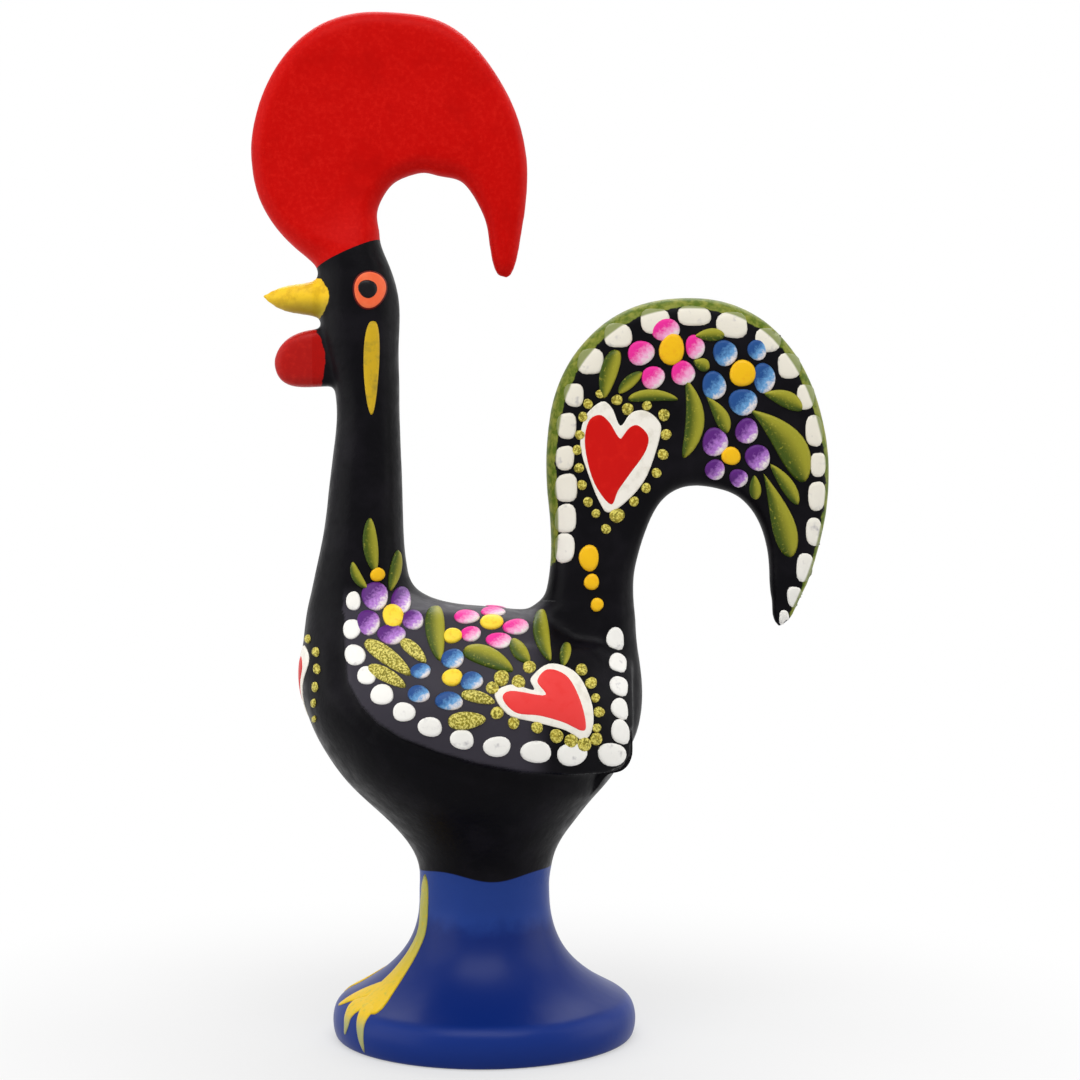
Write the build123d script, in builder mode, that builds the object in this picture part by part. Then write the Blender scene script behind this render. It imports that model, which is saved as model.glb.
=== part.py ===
from build123d import *
import os
from math import cos, pi, sin

os.makedirs("parts", exist_ok=True)

# A folk rooster of fired clay, built from pressed and turned pieces that are
# luted together. The origin is on the floor at the centre of the round foot.
# The rooster looks along -X, its tail is at +X, and +Z is up. Millimetres.

# Round foot, turned on the wheel
foot_radius = 22.0
foot_height = 23.2
foot_wall = 2.8
foot_ceiling = 3.4
rim_height = 4.9
rim_bulge = 0.6
rim_round = 0.8
edge_round = 0.5
stem_radius = 9.75
stem_straight = 1.8
flare_power = 2.8
spigot_radius = 6.0
spigot_height = 4.6
vent_radius = 1.5

# Body, pressed in two halves
body_wall = 2.8
body_floor = 1.8
hollow_top = 35.5
neck_length = 53.3
head_depth = 10.1
head_width = 9.6
stump_length = 14.0
stump_width = 8.8

# Plumes and small pieces
comb_thickness = 5.5
tail_thickness = 6.2
beak_length = 9.0
beak_radius = 2.9
wattle_thickness = 4.8
wattle_round = 1.6
wing_rise = 1.3
wing_fade = 9.0
wing_lip = 1.8
wing_tip = 3.2
wing_top = 35.3
wing_parting = 3.0

# Joints: tongues and pegs, and the slip that fills the gap round them
slip_gap = 0.15
tongue_depth = 4.8
tongue_width = 4.4
tongue_thickness = 3.0
small_tongue_depth = 2.8
small_tongue_width = 2.2
small_tongue_height = 3.2
root_overlap = 1.4
peg_radius = 1.2
peg_length = 2.6

# Where the pieces sit: how far in front of the foot's axis, or behind it for
# the tail. The beak lies below the comb's seat, and the wattle below the beak.
comb_reach = 20.5
comb_seat_slope = 24.5 * pi / 180
tail_reach = 15.5
tail_height = 41.6
beak_reach = 24.2
beak_drop = 6.8
wattle_reach = 23.4
wattle_drop = 9.0
peg_places = ((-17.5, 72.8), (-18.5, 48.8), (21.0, 26.8))

# Level slices of the body: height above the foot, front, back, half width,
# and how far the slice tapers to the back. The belly's slices run from the
# stem to the saddle, and the neck's from there to the crown of the head, with
# heights as shares of the neck's length.
slice_points = 16
belly_slices = (
    (0.0, -stem_radius, stem_radius, stem_radius, 0.00),
    (2.6, -10.0, 10.3, 10.2, 0.00),
    (5.6, -11.5, 11.5, 11.5, 0.01),
    (8.6, -14.1, 13.5, 13.3, 0.03),
    (11.6, -17.3, 15.8, 15.3, 0.05),
    (14.6, -20.3, 18.4, 17.0, 0.08),
    (18.4, -23.2, 20.8, 18.2, 0.12),
    (23.5, -26.0, 21.8, 18.5, 0.14),
    (28.1, -27.3, 21.2, 17.6, 0.14),
    (31.9, -27.5, 19.6, 15.8, 0.12),
    (35.6, -27.2, 16.4, 13.4, 0.10),
    (38.6, -26.8, 11.8, 11.0, 0.08),
    (40.3, -26.5, 4.8, 9.4, 0.05),
)
neck_slices = (
    (0.024, -26.2, -6.6, 8.1, 0.02),
    (0.056, -25.8, -10.2, 7.3, 0.00),
    (0.118, -25.2, -11.6, 6.8, 0.00),
    (0.231, -24.1, -12.2, 6.3, 0.00),
    (0.400, -22.9, -12.5, 5.8, 0.00),
    (0.559, -22.3, -12.8, 5.5, 0.00),
    (0.638, -22.8, -12.8, 5.5, 0.00),
    (0.760, -24.3, -12.8, 5.6, 0.00),
    (0.872, -24.7, -12.8, 5.5, 0.00),
    (0.953, -24.9, -14.0, head_width / 2 + 0.3, 0.00),
    (1.023, -25.4, -15.5, head_width / 2, 0.00),
    (1.098, -26.2, -16.8, head_width / 2 - 0.3, 0.00),
)
neck_low = belly_slices[-1][0]

# The seats, by the heights of the neck and of the stump
comb_seat = Vector(-comb_reach, 0, foot_height + neck_low + neck_length)
tail_seat = Vector(tail_reach, 0, foot_height + tail_height)
beak_seat = Vector(-beak_reach, 0, comb_seat.Z - beak_drop)
wattle_seat = Vector(-wattle_reach, 0, beak_seat.Z - wattle_drop)

# Level slices of the tail's stump: how far each lies below the tail's seat and
# in front of its middle, and how much longer and wider it is than the top one
stump_slices = (
    (24.6, 4.7, 3.6, 5.6),
    (21.0, 2.75, 5.1, 5.9),
    (16.5, 1.75, 5.5, 5.9),
    (13.5, 1.6, 5.4, 5.3),
    (9.0, 1.7, 4.8, 3.5),
    (3.2, 1.45, 3.3, 1.3),
    (0.0, 0.0, 0.0, 0.0),
)

# Slices fanned round the hook of each plume, measured from its seat: the
# outer edge, the inner edge, and the thickness
comb_root = (head_depth / 2 * cos(comb_seat_slope), head_depth / 2 * sin(comb_seat_slope))
comb_slices = (
    ((-comb_root[0], -comb_root[1]), comb_root, head_width),
    ((-9.2, 2.0), (4.6, 4.2), 1.35 * comb_thickness),
    ((-13.3, 8.2), (4.5, 6.6), 1.1 * comb_thickness),
    ((-14.4, 17.2), (5.6, 8.9), comb_thickness),
    ((-11.6, 26.5), (7.1, 10.6), comb_thickness),
    ((-4.2, 34.2), (9.6, 11.6), comb_thickness),
    ((7.2, 36.0), (12.0, 11.9), comb_thickness),
    ((18.5, 31.5), (15.6, 11.1), comb_thickness),
    ((24.6, 22.6), (18.0, 9.6), 0.95 * comb_thickness),
    ((26.9, 12.5), (19.8, 6.5), 0.85 * comb_thickness),
    ((26.1, 3.5), (20.9, 3.5), 0.7 * comb_thickness),
    ((24.5, -2.6), (22.2, -2.4), 0.35 * comb_thickness),
    ((23.9, -3.5), (23.0, -3.2), 0.12 * comb_thickness),
)
tail_slices = (
    ((-stump_length / 2, 0.0), (stump_length / 2, 0.0), stump_width),
    ((-5.6, 8.3), (7.7, 7.2), 1.15 * tail_thickness),
    ((-6.3, 21.0), (9.5, 12.4), tail_thickness),
    ((-4.4, 32.5), (11.6, 15.4), tail_thickness),
    ((2.2, 41.4), (14.2, 16.8), tail_thickness),
    ((13.0, 45.3), (17.1, 17.0), tail_thickness),
    ((24.4, 43.1), (20.4, 16.4), tail_thickness),
    ((32.4, 34.8), (23.4, 14.8), 0.95 * tail_thickness),
    ((35.7, 24.4), (25.5, 11.8), 0.9 * tail_thickness),
    ((35.8, 13.8), (26.8, 7.8), 0.8 * tail_thickness),
    ((33.4, 4.0), (27.1, 2.6), 0.65 * tail_thickness),
    ((30.5, -2.6), (27.7, -2.9), 0.35 * tail_thickness),
    ((29.2, -4.1), (28.3, -4.3), 0.1 * tail_thickness),
)

# Outlines in side view, measured from the seat or from the top of the foot
wattle_outline = ((2.2, 4.6), (-2.0, 4.3), (-6.2, 2.8), (-8.0, -0.4), (-7.1, -3.2), (-2.8, -4.3), (2.2, -4.3))
wing_outline = (
    (-19.7, 35.4),
    (-19.2, 30.4),
    (-14.9, 24.4),
    (-6.3, 20.2),
    (5.8, 17.4),
    (15.5, 16.7),
    (20.4, 16.7),
    (21.9, 19.2),
)


def level_slice(height, front, back, half_width, taper):
    """Draw one level slice of the body, a smooth egg that is blunt in front."""
    points = []
    for step in range(slice_points):
        turn = 2 * pi * step / slice_points
        along = (front + back) / 2 + (back - front) / 2 * cos(turn)
        points.append((along, half_width * sin(turn) * (1 - taper * cos(turn))))
    with BuildSketch(Plane.XY.offset(foot_height + height)) as egg:
        with BuildLine():
            Spline(*points, periodic=True)
        make_face()
    return egg.sketch


def neck_slice(share, front, back, half_width, taper):
    """Draw one level slice of the neck or head, at a share of the neck's length."""
    return level_slice(neck_low + share * neck_length, front, back, half_width, taper)


def stump_slice(drop, lean, longer, wider):
    """Draw one level slice of the tail's stump, rounded at both ends."""
    with BuildSketch(Plane(origin=tail_seat - Vector(lean, 0, drop))) as slot:
        SlotOverall(stump_length + longer, stump_width + wider)
    return slot.sketch


def plume_slice(seat, outer, inner, thickness):
    """Draw one slice across a flat plume, rounded at its outer and inner edge."""
    start = seat + Vector(outer[0], 0, outer[1])
    end = seat + Vector(inner[0], 0, inner[1])
    across = end - start
    slant = Plane(origin=(start + end) * 0.5, x_dir=across, z_dir=across.cross(Vector(0, 1, 0)))
    with BuildSketch(slant) as slot:
        SlotOverall(across.length, min(thickness, 0.96 * across.length))
    return slot.sketch


def grown(row, growth):
    """Return a body slice that is larger all round by the growth."""
    height, front, back, half_width, taper = row
    return (height, front - growth, back + growth, half_width + growth, taper)


def flare(low_radius, low_height, high_radius, high_height):
    """Return points up the trumpet's flare, from its wide end to its stem."""
    points = []
    for rise in (0.0, 0.07, 0.17, 0.3, 0.46, 0.7, 1.0):
        radius = high_radius + (low_radius - high_radius) * (1 - rise) ** flare_power
        points.append((radius, low_height + (high_height - low_height) * rise))
    return points


comb_plane = Plane(origin=comb_seat).rotated((0, -comb_seat_slope * 180 / pi, 0))
tail_plane = Plane(origin=tail_seat)
beak_plane = Plane(origin=beak_seat, x_dir=(0, 1, 0), z_dir=(-1, 0, 0))
wattle_plane = Plane(origin=wattle_seat, x_dir=(0, 1, 0), z_dir=(-1, 0, 0))
body_foot = Plane.XY.offset(foot_height)

# Round foot: a hollow trumpet with a rolled rim, and a spigot on top
with BuildPart() as pedestal:
    shoulder = (foot_radius - rim_round, rim_height + rim_round)
    stem_low = foot_height - stem_straight
    with BuildSketch(Plane.XZ):
        with BuildLine():
            ThreePointArc((foot_radius, 0), (foot_radius + rim_bulge, rim_height / 2), (foot_radius, rim_height))
            Line((foot_radius, rim_height), shoulder)
            Spline(*flare(*shoulder, stem_radius, stem_low))
            Polyline(
                (stem_radius, stem_low),
                (stem_radius, foot_height),
                (spigot_radius, foot_height),
                (spigot_radius, foot_height + spigot_height),
                (0, foot_height + spigot_height),
                (0, 0),
                (foot_radius, 0),
            )
        make_face()
    revolve(axis=Axis.Z)
    hollow_radius = foot_radius - foot_wall
    hollow_shoulder = rim_height + rim_round - foot_wall
    ceiling = foot_height - foot_ceiling
    with BuildSketch(Plane.XZ):
        with BuildLine():
            Line((hollow_radius, 0), (hollow_radius, hollow_shoulder))
            Spline(*flare(hollow_radius, hollow_shoulder, stem_radius - foot_wall, ceiling))
            Polyline((stem_radius - foot_wall, ceiling), (0, ceiling), (0, 0), (hollow_radius, 0))
        make_face()
    revolve(axis=Axis.Z, mode=Mode.SUBTRACT)
    with Locations((0, 0, foot_height + spigot_height)):
        Hole(vent_radius)
    fillet(pedestal.edges().filter_by(GeomType.CIRCLE).group_by(Axis.Z)[0], radius=edge_round)

# The whole body before it is parted: belly, back, neck, head and stump
with BuildPart() as body_form:
    belly_sections = [level_slice(*row) for row in belly_slices]
    neck_sections = [neck_slice(*row) for row in neck_slices]
    loft(sections=belly_sections + neck_sections)
    split(bisect_by=comb_plane, keep=Keep.BOTTOM)
    loft(sections=[stump_slice(*row) for row in stump_slices])

# The hollow of the belly, above the floor over the spigot
hollow_low = spigot_height + slip_gap + body_floor
with BuildPart() as hollow:
    loft(sections=[level_slice(*grown(row, -body_wall)) for row in belly_slices])
    split(bisect_by=body_foot.offset(hollow_low), keep=Keep.TOP)
    split(bisect_by=body_foot.offset(hollow_top), keep=Keep.BOTTOM)

# Pockets for the spigot, the tongues and the beak's peg, wider by the slip
with BuildPart() as pockets:
    with BuildSketch(body_foot):
        Circle(spigot_radius + slip_gap)
    extrude(amount=spigot_height + slip_gap)
    with BuildSketch(body_foot):
        Circle(vent_radius)
    extrude(amount=hollow_low)
    for seat_plane in (comb_plane, tail_plane):
        with BuildSketch(seat_plane):
            Rectangle(tongue_width + 2 * slip_gap, tongue_thickness + 2 * slip_gap)
        extrude(amount=-(tongue_depth + slip_gap))
    with BuildSketch(wattle_plane.offset(root_overlap)):
        Rectangle(small_tongue_width + 2 * slip_gap, small_tongue_height + 2 * slip_gap)
    extrude(amount=-(root_overlap + small_tongue_depth + slip_gap))
    with BuildSketch(beak_plane.offset(root_overlap)):
        Circle(peg_radius + slip_gap)
    extrude(amount=-(root_overlap + peg_length + slip_gap))

# The body as it is pressed, still in one
with BuildPart() as body_shell:
    add(body_form.part)
    add(hollow.part, mode=Mode.SUBTRACT)
    add(pockets.part, mode=Mode.SUBTRACT)

# Left half, with the pegs that line the halves up
with BuildPart() as left_body_shell:
    add(body_shell.part)
    split(bisect_by=Plane.XZ, keep=Keep.TOP)
    with BuildSketch(Plane.XZ):
        for along, height in peg_places:
            with Locations((along, foot_height + height)):
                Circle(peg_radius)
    extrude(amount=-peg_length)

# Right half, with the sockets for the pegs
with BuildPart() as right_body_shell:
    add(body_shell.part)
    split(bisect_by=Plane.XZ, keep=Keep.BOTTOM)
    with BuildSketch(Plane.XZ):
        for along, height in peg_places:
            with Locations((along, foot_height + height)):
                Circle(peg_radius + slip_gap)
    extrude(amount=-(peg_length + slip_gap), mode=Mode.SUBTRACT)

# Comb: a flat hooked plate, with a tongue let into the crown
with BuildPart() as comb:
    loft(sections=[plume_slice(comb_seat, *row) for row in comb_slices])
    with BuildSketch(comb_plane):
        Rectangle(tongue_width, tongue_thickness)
    extrude(amount=-tongue_depth)

# Tail: a larger hooked plate, with a tongue let into the stump
with BuildPart() as tail:
    loft(sections=[plume_slice(tail_seat, *row) for row in tail_slices])
    with BuildSketch(tail_plane):
        Rectangle(tongue_width, tongue_thickness)
    extrude(amount=-tongue_depth)

# Beak: a plain cone, hollowed at the back to the face, with a round peg
with BuildPart() as beak:
    with BuildSketch(beak_plane.offset(-beak_radius)):
        Circle(beak_radius)
    with BuildSketch(beak_plane):
        Circle(beak_radius)
    with BuildSketch(beak_plane.offset(beak_length / 2)):
        Circle(0.6 * beak_radius)
    with BuildSketch(beak_plane.offset(beak_length)):
        Circle(0.13 * beak_radius)
    loft()
    add(body_form.part, mode=Mode.SUBTRACT)
    with BuildSketch(beak_plane.offset(root_overlap)):
        Circle(peg_radius)
    extrude(amount=-(root_overlap + peg_length))

# Wattle: a flat lobe that hangs at the throat, with a tongue
with BuildPart() as wattle:
    with BuildSketch(Plane(origin=wattle_seat, x_dir=(1, 0, 0), z_dir=(0, -1, 0))):
        with BuildLine():
            Spline(*wattle_outline)
            Line(wattle_outline[-1], wattle_outline[0])
        make_face()
    extrude(amount=wattle_thickness / 2, both=True)
    fillet(wattle.edges().filter_by(GeomType.BSPLINE), radius=wattle_round)
    add(body_form.part, mode=Mode.SUBTRACT)
    with BuildSketch(wattle_plane.offset(root_overlap)):
        Rectangle(small_tongue_width, small_tongue_height)
    extrude(amount=-(root_overlap + small_tongue_depth))

# Wings: thin pads laid on the flanks, which fade into the back at the top
with BuildPart() as wing_pair:
    swollen_slices = []
    for row in belly_slices:
        fade = min(1.0, (wing_top + wing_lip - row[0]) / wing_fade)
        height, front, back, half_width, taper = grown(row, wing_rise * fade)
        swollen_slices.append((height, front, back + wing_tip, half_width, taper))
    loft(sections=[level_slice(*row) for row in swollen_slices])
    with BuildSketch(Plane(origin=(0, 0, foot_height), x_dir=(1, 0, 0), z_dir=(0, -1, 0))):
        with BuildLine():
            Spline(*wing_outline)
            Polyline(
                wing_outline[-1],
                (wing_outline[-1][0], wing_top),
                (wing_outline[0][0], wing_top),
                wing_outline[0],
            )
        make_face()
    extrude(amount=foot_radius, both=True, mode=Mode.INTERSECT)
    with BuildSketch(Plane.XZ):
        with Locations((0, foot_height + wing_top / 2)):
            Rectangle(4 * foot_radius, 2 * wing_top)
    extrude(amount=wing_parting, both=True, mode=Mode.SUBTRACT)
    add(body_form.part, mode=Mode.SUBTRACT)

with BuildPart() as left_wing:
    add(wing_pair.part)
    split(bisect_by=Plane.XZ, keep=Keep.TOP)

with BuildPart() as right_wing:
    add(wing_pair.part)
    split(bisect_by=Plane.XZ, keep=Keep.BOTTOM)

pieces = {
    "pedestal": pedestal,
    "left_body_shell": left_body_shell,
    "right_body_shell": right_body_shell,
    "comb": comb,
    "tail": tail,
    "beak": beak,
    "wattle": wattle,
    "left_wing": left_wing,
    "right_wing": right_wing,
}
for name, piece in pieces.items():
    piece.part.label = name
    export_step(piece.part, f"parts/{name}.step")
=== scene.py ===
from functools import lru_cache
from math import atan2, cos, hypot, log, pi, radians, sin

import bmesh
import bpy
from mathutils import Matrix, Vector
from mathutils.bvhtree import BVHTree


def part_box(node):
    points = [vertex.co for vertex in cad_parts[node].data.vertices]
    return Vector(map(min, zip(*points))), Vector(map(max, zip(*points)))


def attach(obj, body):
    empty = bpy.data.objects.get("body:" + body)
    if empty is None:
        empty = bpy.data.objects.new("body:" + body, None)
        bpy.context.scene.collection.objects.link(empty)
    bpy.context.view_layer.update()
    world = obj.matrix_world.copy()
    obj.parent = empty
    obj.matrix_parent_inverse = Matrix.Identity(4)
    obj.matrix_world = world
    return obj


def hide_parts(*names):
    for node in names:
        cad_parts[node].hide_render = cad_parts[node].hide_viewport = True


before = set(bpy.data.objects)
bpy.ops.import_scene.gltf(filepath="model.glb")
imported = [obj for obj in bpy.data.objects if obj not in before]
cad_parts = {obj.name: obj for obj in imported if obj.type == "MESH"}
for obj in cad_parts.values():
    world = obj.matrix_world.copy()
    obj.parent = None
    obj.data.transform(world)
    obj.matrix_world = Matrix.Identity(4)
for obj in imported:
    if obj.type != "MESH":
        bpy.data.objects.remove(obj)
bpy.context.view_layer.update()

bl_info = {
    "name": "Painted clay rooster",
    "version": (1, 0, 0),
    "blender": (4, 5, 0),
    "location": "3D View > Sidebar > Rooster",
    "description": "Moulds the clay skin of a folk rooster over its packed pieces and paints it by hand",
    "category": "Add Mesh",
}

MM = 0.001
SKIN = "working_skin"
FIGURE = "working_figure"

# The photograph's frame: pixels from the left and from the top, and the level
# camera that sees it. The sight lines carry each brush mark on to the clay.
PICTURE_MIDDLE = 540.0
PICTURE_FOCAL = 2000.0
SENSOR_WIDTH = 36.0
EYE_ALONG = 8.3 * MM
EYE_AWAY = 300.0 * MM
EYE_HEIGHT = 73.8 * MM

# Where a sight line that passes the clay looks for it: how far off the middle on a flank, and
# on the breast, which is seen from straight ahead and this far away
FLANK_REACH = 4.0 * MM
BREAST_REACH = 26.0 * MM
BREAST_EYE = 100.0 * MM

# Where the skin parts, in metres: the top of the foot and the seats of the
# comb, tail, beak and wattle
FOOT_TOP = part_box("left_body_shell")[0][2] - 0.15 * MM
COMB_SEAT = Vector((-20.5, 0.0, 116.5)) * MM
COMB_SLOPE = radians(24.5)
COMB_UP = Vector((-sin(COMB_SLOPE), 0.0, cos(COMB_SLOPE)))
TAIL_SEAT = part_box("tail")[0][2] + 4.8 * MM
BEAK_SEAT = Vector((-23.6, 0.0, 110.0)) * MM
WATTLE_SEAT = Vector((-24.0, 0.0, 101.0)) * MM
TAIL_MIDDLE = (30.0 * MM, 84.0 * MM)
FACE_CUT = Vector((-25.6 * MM, 0.0, 0.0))
BEAK_LENGTH = 7.5 * MM
BEAK_MIDDLE = 109.7 * MM
FORWARD = Vector((-1.0, 0.0, 0.0))
UP = Vector((0.0, 0.0, 1.0))

# A place on each part, by which it is told from what a cut leaves beside it
FOOT_SPOT = Vector((22.0, 0.0, 0.0)) * MM
BODY_SPOT = Vector((0.0, -20.0, 45.0)) * MM
COMB_SPOT = Vector((-15.0, 0.0, 153.0)) * MM
TAIL_SPOT = Vector((25.0, 0.0, 110.0)) * MM
BEAK_SPOT = Vector((-33.0, 0.0, 110.0)) * MM
WATTLE_SPOT = Vector((-31.0, 0.0, 101.0)) * MM

# The dents of the hand run out between these heights, so that the rim stays flat
DENTS_FROM = 5.2 * MM
DENTS_END = 1.2 * MM

# Spots of the side view that are rounded off: along and up in mm, and the radius in soft joints,
# and the height of the seam between the back and what stands on it
SOFT_SPOTS = (
    (5.0, 64.0, 2.2), (-9.0, 64.0, 2.2), (14.0, 61.5, 2.8), (-6.6, 128.3, 2.2), (2.9, 113.4, 0.35),
)
BACK_SEAM = 59.0 * MM

# The edge of a wing in photo pixels, from the breast down and back to the rear corner,
# and how deep the step below it is carved
WING_EDGE = (
    (343.5, 621), (343.5, 645), (346.6, 682), (360, 706), (377, 724), (401, 739), (437.5, 753),
    (474, 764), (522, 773), (571, 776), (607, 774), (624, 765.5), (631.5, 754.5), (631.5, 745),
)
WING_STEP = 0.8 * MM
WING_LOW = 34.0 * MM
WING_TOP = 66.0 * MM

# How the step runs, in photo pixels: it rises across the edge and runs out beyond it, and it
# starts below the shoulder
STEP_RISES = (-1.5, 2.5)
STEP_RUNS_OUT = (22.0, 4.0)
STEP_STARTS = (612.0, 665.0)

# Where the painted sheen on a wing runs out, in photo pixels: down from the back, and across from the tail
SHEEN_FROM_TOP = (584.0, 614.0)
SHEEN_FROM_TAIL = (556.0, 524.0)

# Where the olive edge of the tail starts and ends, in degrees round the tail's middle:
# from the tip on the right, over the top, to the root on the left
OLIVE_START = 306.0
OLIVE_END = 215.0

# How wide the olive is, how much wider it gets above and ahead of the tail's middle, and how
# far inward it fades. The plume's edge is looked up in this many directions, on the clay behind
# the front limit and above the low one.
OLIVE_WIDTH = 0.75 * MM
OLIVE_WIDER_ABOVE = 1.1 * MM
OLIVE_WIDER_AHEAD = 0.6 * MM
OLIVE_FADE = 2.0 * MM
EDGE_STEPS = 180
PLUME_FRONT = 7.0 * MM
PLUME_LOW = 58.0 * MM

# How far the comb's hook is drawn down, behind this place and between these heights
HOOK_DRAWN = 0.6 * MM
HOOK_FRONT = -5.0 * MM
HOOK_HEIGHTS = (121.0 * MM, 115.0 * MM)

# How much longer, and by what share wider and taller, the beak gets at its tip
BEAK_LONGER = 0.9 * MM
BEAK_WIDER = 0.8
BEAK_TALLER = 1.5

# Where colours change, as heights in mm: from the first to the second
# The foot's blue turns paler round the waist and on the rim: painted reflection
WAIST_REFLECTION_STARTS = (16.6, 19.6)
WAIST_REFLECTION_UNEVEN = 1.2
RIM_REFLECTION_STARTS = (6.2, 5.2)
BEAK_OLIVE_STARTS = (110.4, 107.6)
LEG_THINS = (7.0, 17.0)
TOES_THIN = (6.0, 3.6)
PEARLS_CREAM_BETWEEN = (62.0, 84.0)

# The wavy line between black and blue, in mm: height, length and place of a wave, and swing
LINE_HEIGHT = 24.7
LINE_WAVE = 15.0
LINE_SHIFT = 6.0
LINE_SWING = 0.6

# Where beak and wattle lap on to the face, in mm: middle, radii, and how far the edge wavers
BEAK_LAP = ((-26.0, 109.9), (3.0, 3.2), 0.06)
WATTLE_LAP = ((-26.8, 100.4), (3.15, 5.4), 0.05)


def linear_colour(code):
    """Turn an sRGB hex value into the linear colour that Blender works in."""
    shares = [int(code[place:place + 2], 16) / 255 for place in (1, 3, 5)]
    linear = [
        share / 12.92 if share <= 0.04045 else ((share + 0.055) / 1.055) ** 2.4
        for share in shares
    ]
    return (*linear, 1.0)


def length(name, description, millimetres):
    """Return a property that holds a length."""
    return bpy.props.FloatProperty(
        name=name, description=description, default=millimetres * MM, min=0.0, precision=6, unit="LENGTH"
    )


def colour(name, description, code):
    """Return a property that holds a paint colour."""
    return bpy.props.FloatVectorProperty(
        name=name,
        description=description,
        default=linear_colour(code),
        size=4,
        min=0.0,
        max=1.0,
        subtype="COLOR",
    )


class RoosterSizes(bpy.types.PropertyGroup):
    grain: length("Skin grain", "Size of the faces that the moulded skin is made of", 0.4)
    unevenness: length("Unevenness", "How far the hand left the clay off its true shape", 0.32)
    unevenness_width: length("Unevenness width", "Distance between two dents of the hand", 11.0)
    soft_joint: length("Soft joint", "How far the slip smooths the clay at a joint", 3.2)
    pearl_rise: length("Pearl rise", "Height of a white dab of thick paint", 0.22)
    dot_rise: length("Dot rise", "Height of a small dot of gold paint", 0.3)
    stroke_rise: length("Stroke rise", "Height of a stroke on the head or foot", 0.2)
    leaf_rise: length("Leaf rise", "Height of a leaf stroke, which laps over pearls and petals", 0.4)
    petal_rise: length("Petal rise", "Height of a petal, which laps over pearls", 0.34)
    centre_rise: length("Centre rise", "Height of a flower's centre", 0.5)
    ground_rise: length("Ground rise", "Height of a heart's white ground", 0.2)
    field_rise: length("Field rise", "Height of a heart's red field, with its ground", 0.32)


class RoosterColours(bpy.types.PropertyGroup):
    black: colour("Black", "Enamel of the body and tail", "#07060A")
    # Painted sheen: a greyer black on the wings' forward parts, standing in for the lamps' reflection there
    wing_sheen_black: colour("Wing black", "Dull rubbed enamel of the wings", "#3A373F")
    red: colour("Red", "Enamel of the comb", "#C80602")
    bright_red: colour("Bright red", "Where the comb's enamel is thin", "#D4160E")
    wattle_red: colour("Wattle red", "Enamel of the wattle", "#B01410")
    blue: colour("Blue", "Enamel of the foot's flare", "#0B256C")
    # Painted reflection: a paler blue round the foot's waist
    waist_reflection_blue: colour("Pale blue", "Thin enamel round the foot's waist", "#1E3C88")
    # Painted reflection: a little paler blue on the foot's upright rim
    rim_reflection_blue: colour("Rim blue", "Enamel of the foot's rim", "#0F2D7A")
    beak_yellow: colour("Beak yellow", "Upper side of the beak", "#E2B322")
    leaf_dark: colour("Leaf dark", "Dark edge of a leaf stroke", "#3E5110")
    leaf_light: colour("Leaf light", "Bright edge of a leaf stroke", "#A09C2E")
    pearl: colour("Pearl", "Cream white of the dabs on the tail", "#F0EADB")
    # A grey that drifts in patches over the white dabs
    shade: colour("Pearl shade", "Grey where black shows through the white", "#B4B0B2")
    gold: colour("Gold", "Gold paint of the small dots", "#A8952E")
    amber: colour("Amber", "Centres of the flowers on the tail", "#F9C21A")
    heart_red: colour("Heart red", "Field of the tail's and breast's hearts", "#D00C06")
    # Painted light: a lighter copy of the heart red for the wings' hearts, which face up into the lamps
    lit_heart_red: colour("Coral", "Field of the wings' hearts", "#F04240")
    orange: colour("Orange", "Ring of the eye", "#F66B40")


# ---------------------------------------------------------------- helpers


def leave_edit():
    """Make sure that Blender is in object mode and that nothing is selected."""
    if bpy.context.object and bpy.context.object.mode != "OBJECT":
        bpy.ops.object.mode_set(mode="OBJECT")
    bpy.ops.object.select_all(action="DESELECT")


def pick(*objects):
    """Select just these objects, the first as the active one."""
    leave_edit()
    for each in objects:
        each.select_set(True)
    bpy.context.view_layer.objects.active = objects[0]


def add_object(name, mesh):
    """Put a mesh into the scene as an object at the origin."""
    piece = bpy.data.objects.new(name, mesh)
    bpy.context.collection.objects.link(piece)
    return piece


def finish_piece(piece, material, nodes=()):
    """Give a piece its material and its body, and hide the nodes that it stands for."""
    piece.data.materials.clear()
    piece.data.materials.append(material)
    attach(piece, "root")
    if nodes:
        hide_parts(*nodes)


def add_node(tree, kind, inputs=None, **settings):
    """Add a node with its settings, and give each input a value or a link to a node or an output."""
    new = tree.nodes.new(kind)
    for name, value in settings.items():
        setattr(new, name, value)
    for name, value in (inputs or {}).items():
        if isinstance(name, int):
            socket = new.inputs[name]
        else:
            socket = next(each for each in new.inputs if each.name == name and each.enabled)
        if isinstance(value, bpy.types.Node):
            value = next(each for each in value.outputs if each.enabled)
        if isinstance(value, bpy.types.NodeSocket):
            tree.links.new(value, socket)
        else:
            socket.default_value = value
    return new


def new_paint(name):
    """Return a new material with an empty node tree."""
    paint = bpy.data.materials.new(name)
    paint.use_nodes = True
    paint.node_tree.nodes.clear()
    return paint


def per_metre(millimetres):
    """Return the scale of a pattern whose marks are this far apart."""
    return 1.0 / (millimetres * MM)


def add_marks(tree, width, detail, roughness):
    """Return uneven marks this wide in mm, which stay in place on the clay."""
    place = add_node(tree, "ShaderNodeTexCoord").outputs["Object"]
    look = {"Vector": place, "Scale": per_metre(width), "Detail": detail, "Roughness": roughness}
    return add_node(tree, "ShaderNodeTexNoise", look)


def add_patches(tree, width, low, high, detail=3.0):
    """Return a share from 0 to 1 that changes over patches this wide in mm."""
    span = {"Value": add_marks(tree, width, detail, 0.6), "From Min": low, "From Max": high}
    return add_node(tree, "ShaderNodeMapRange", span, interpolation_type="SMOOTHSTEP")


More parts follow.
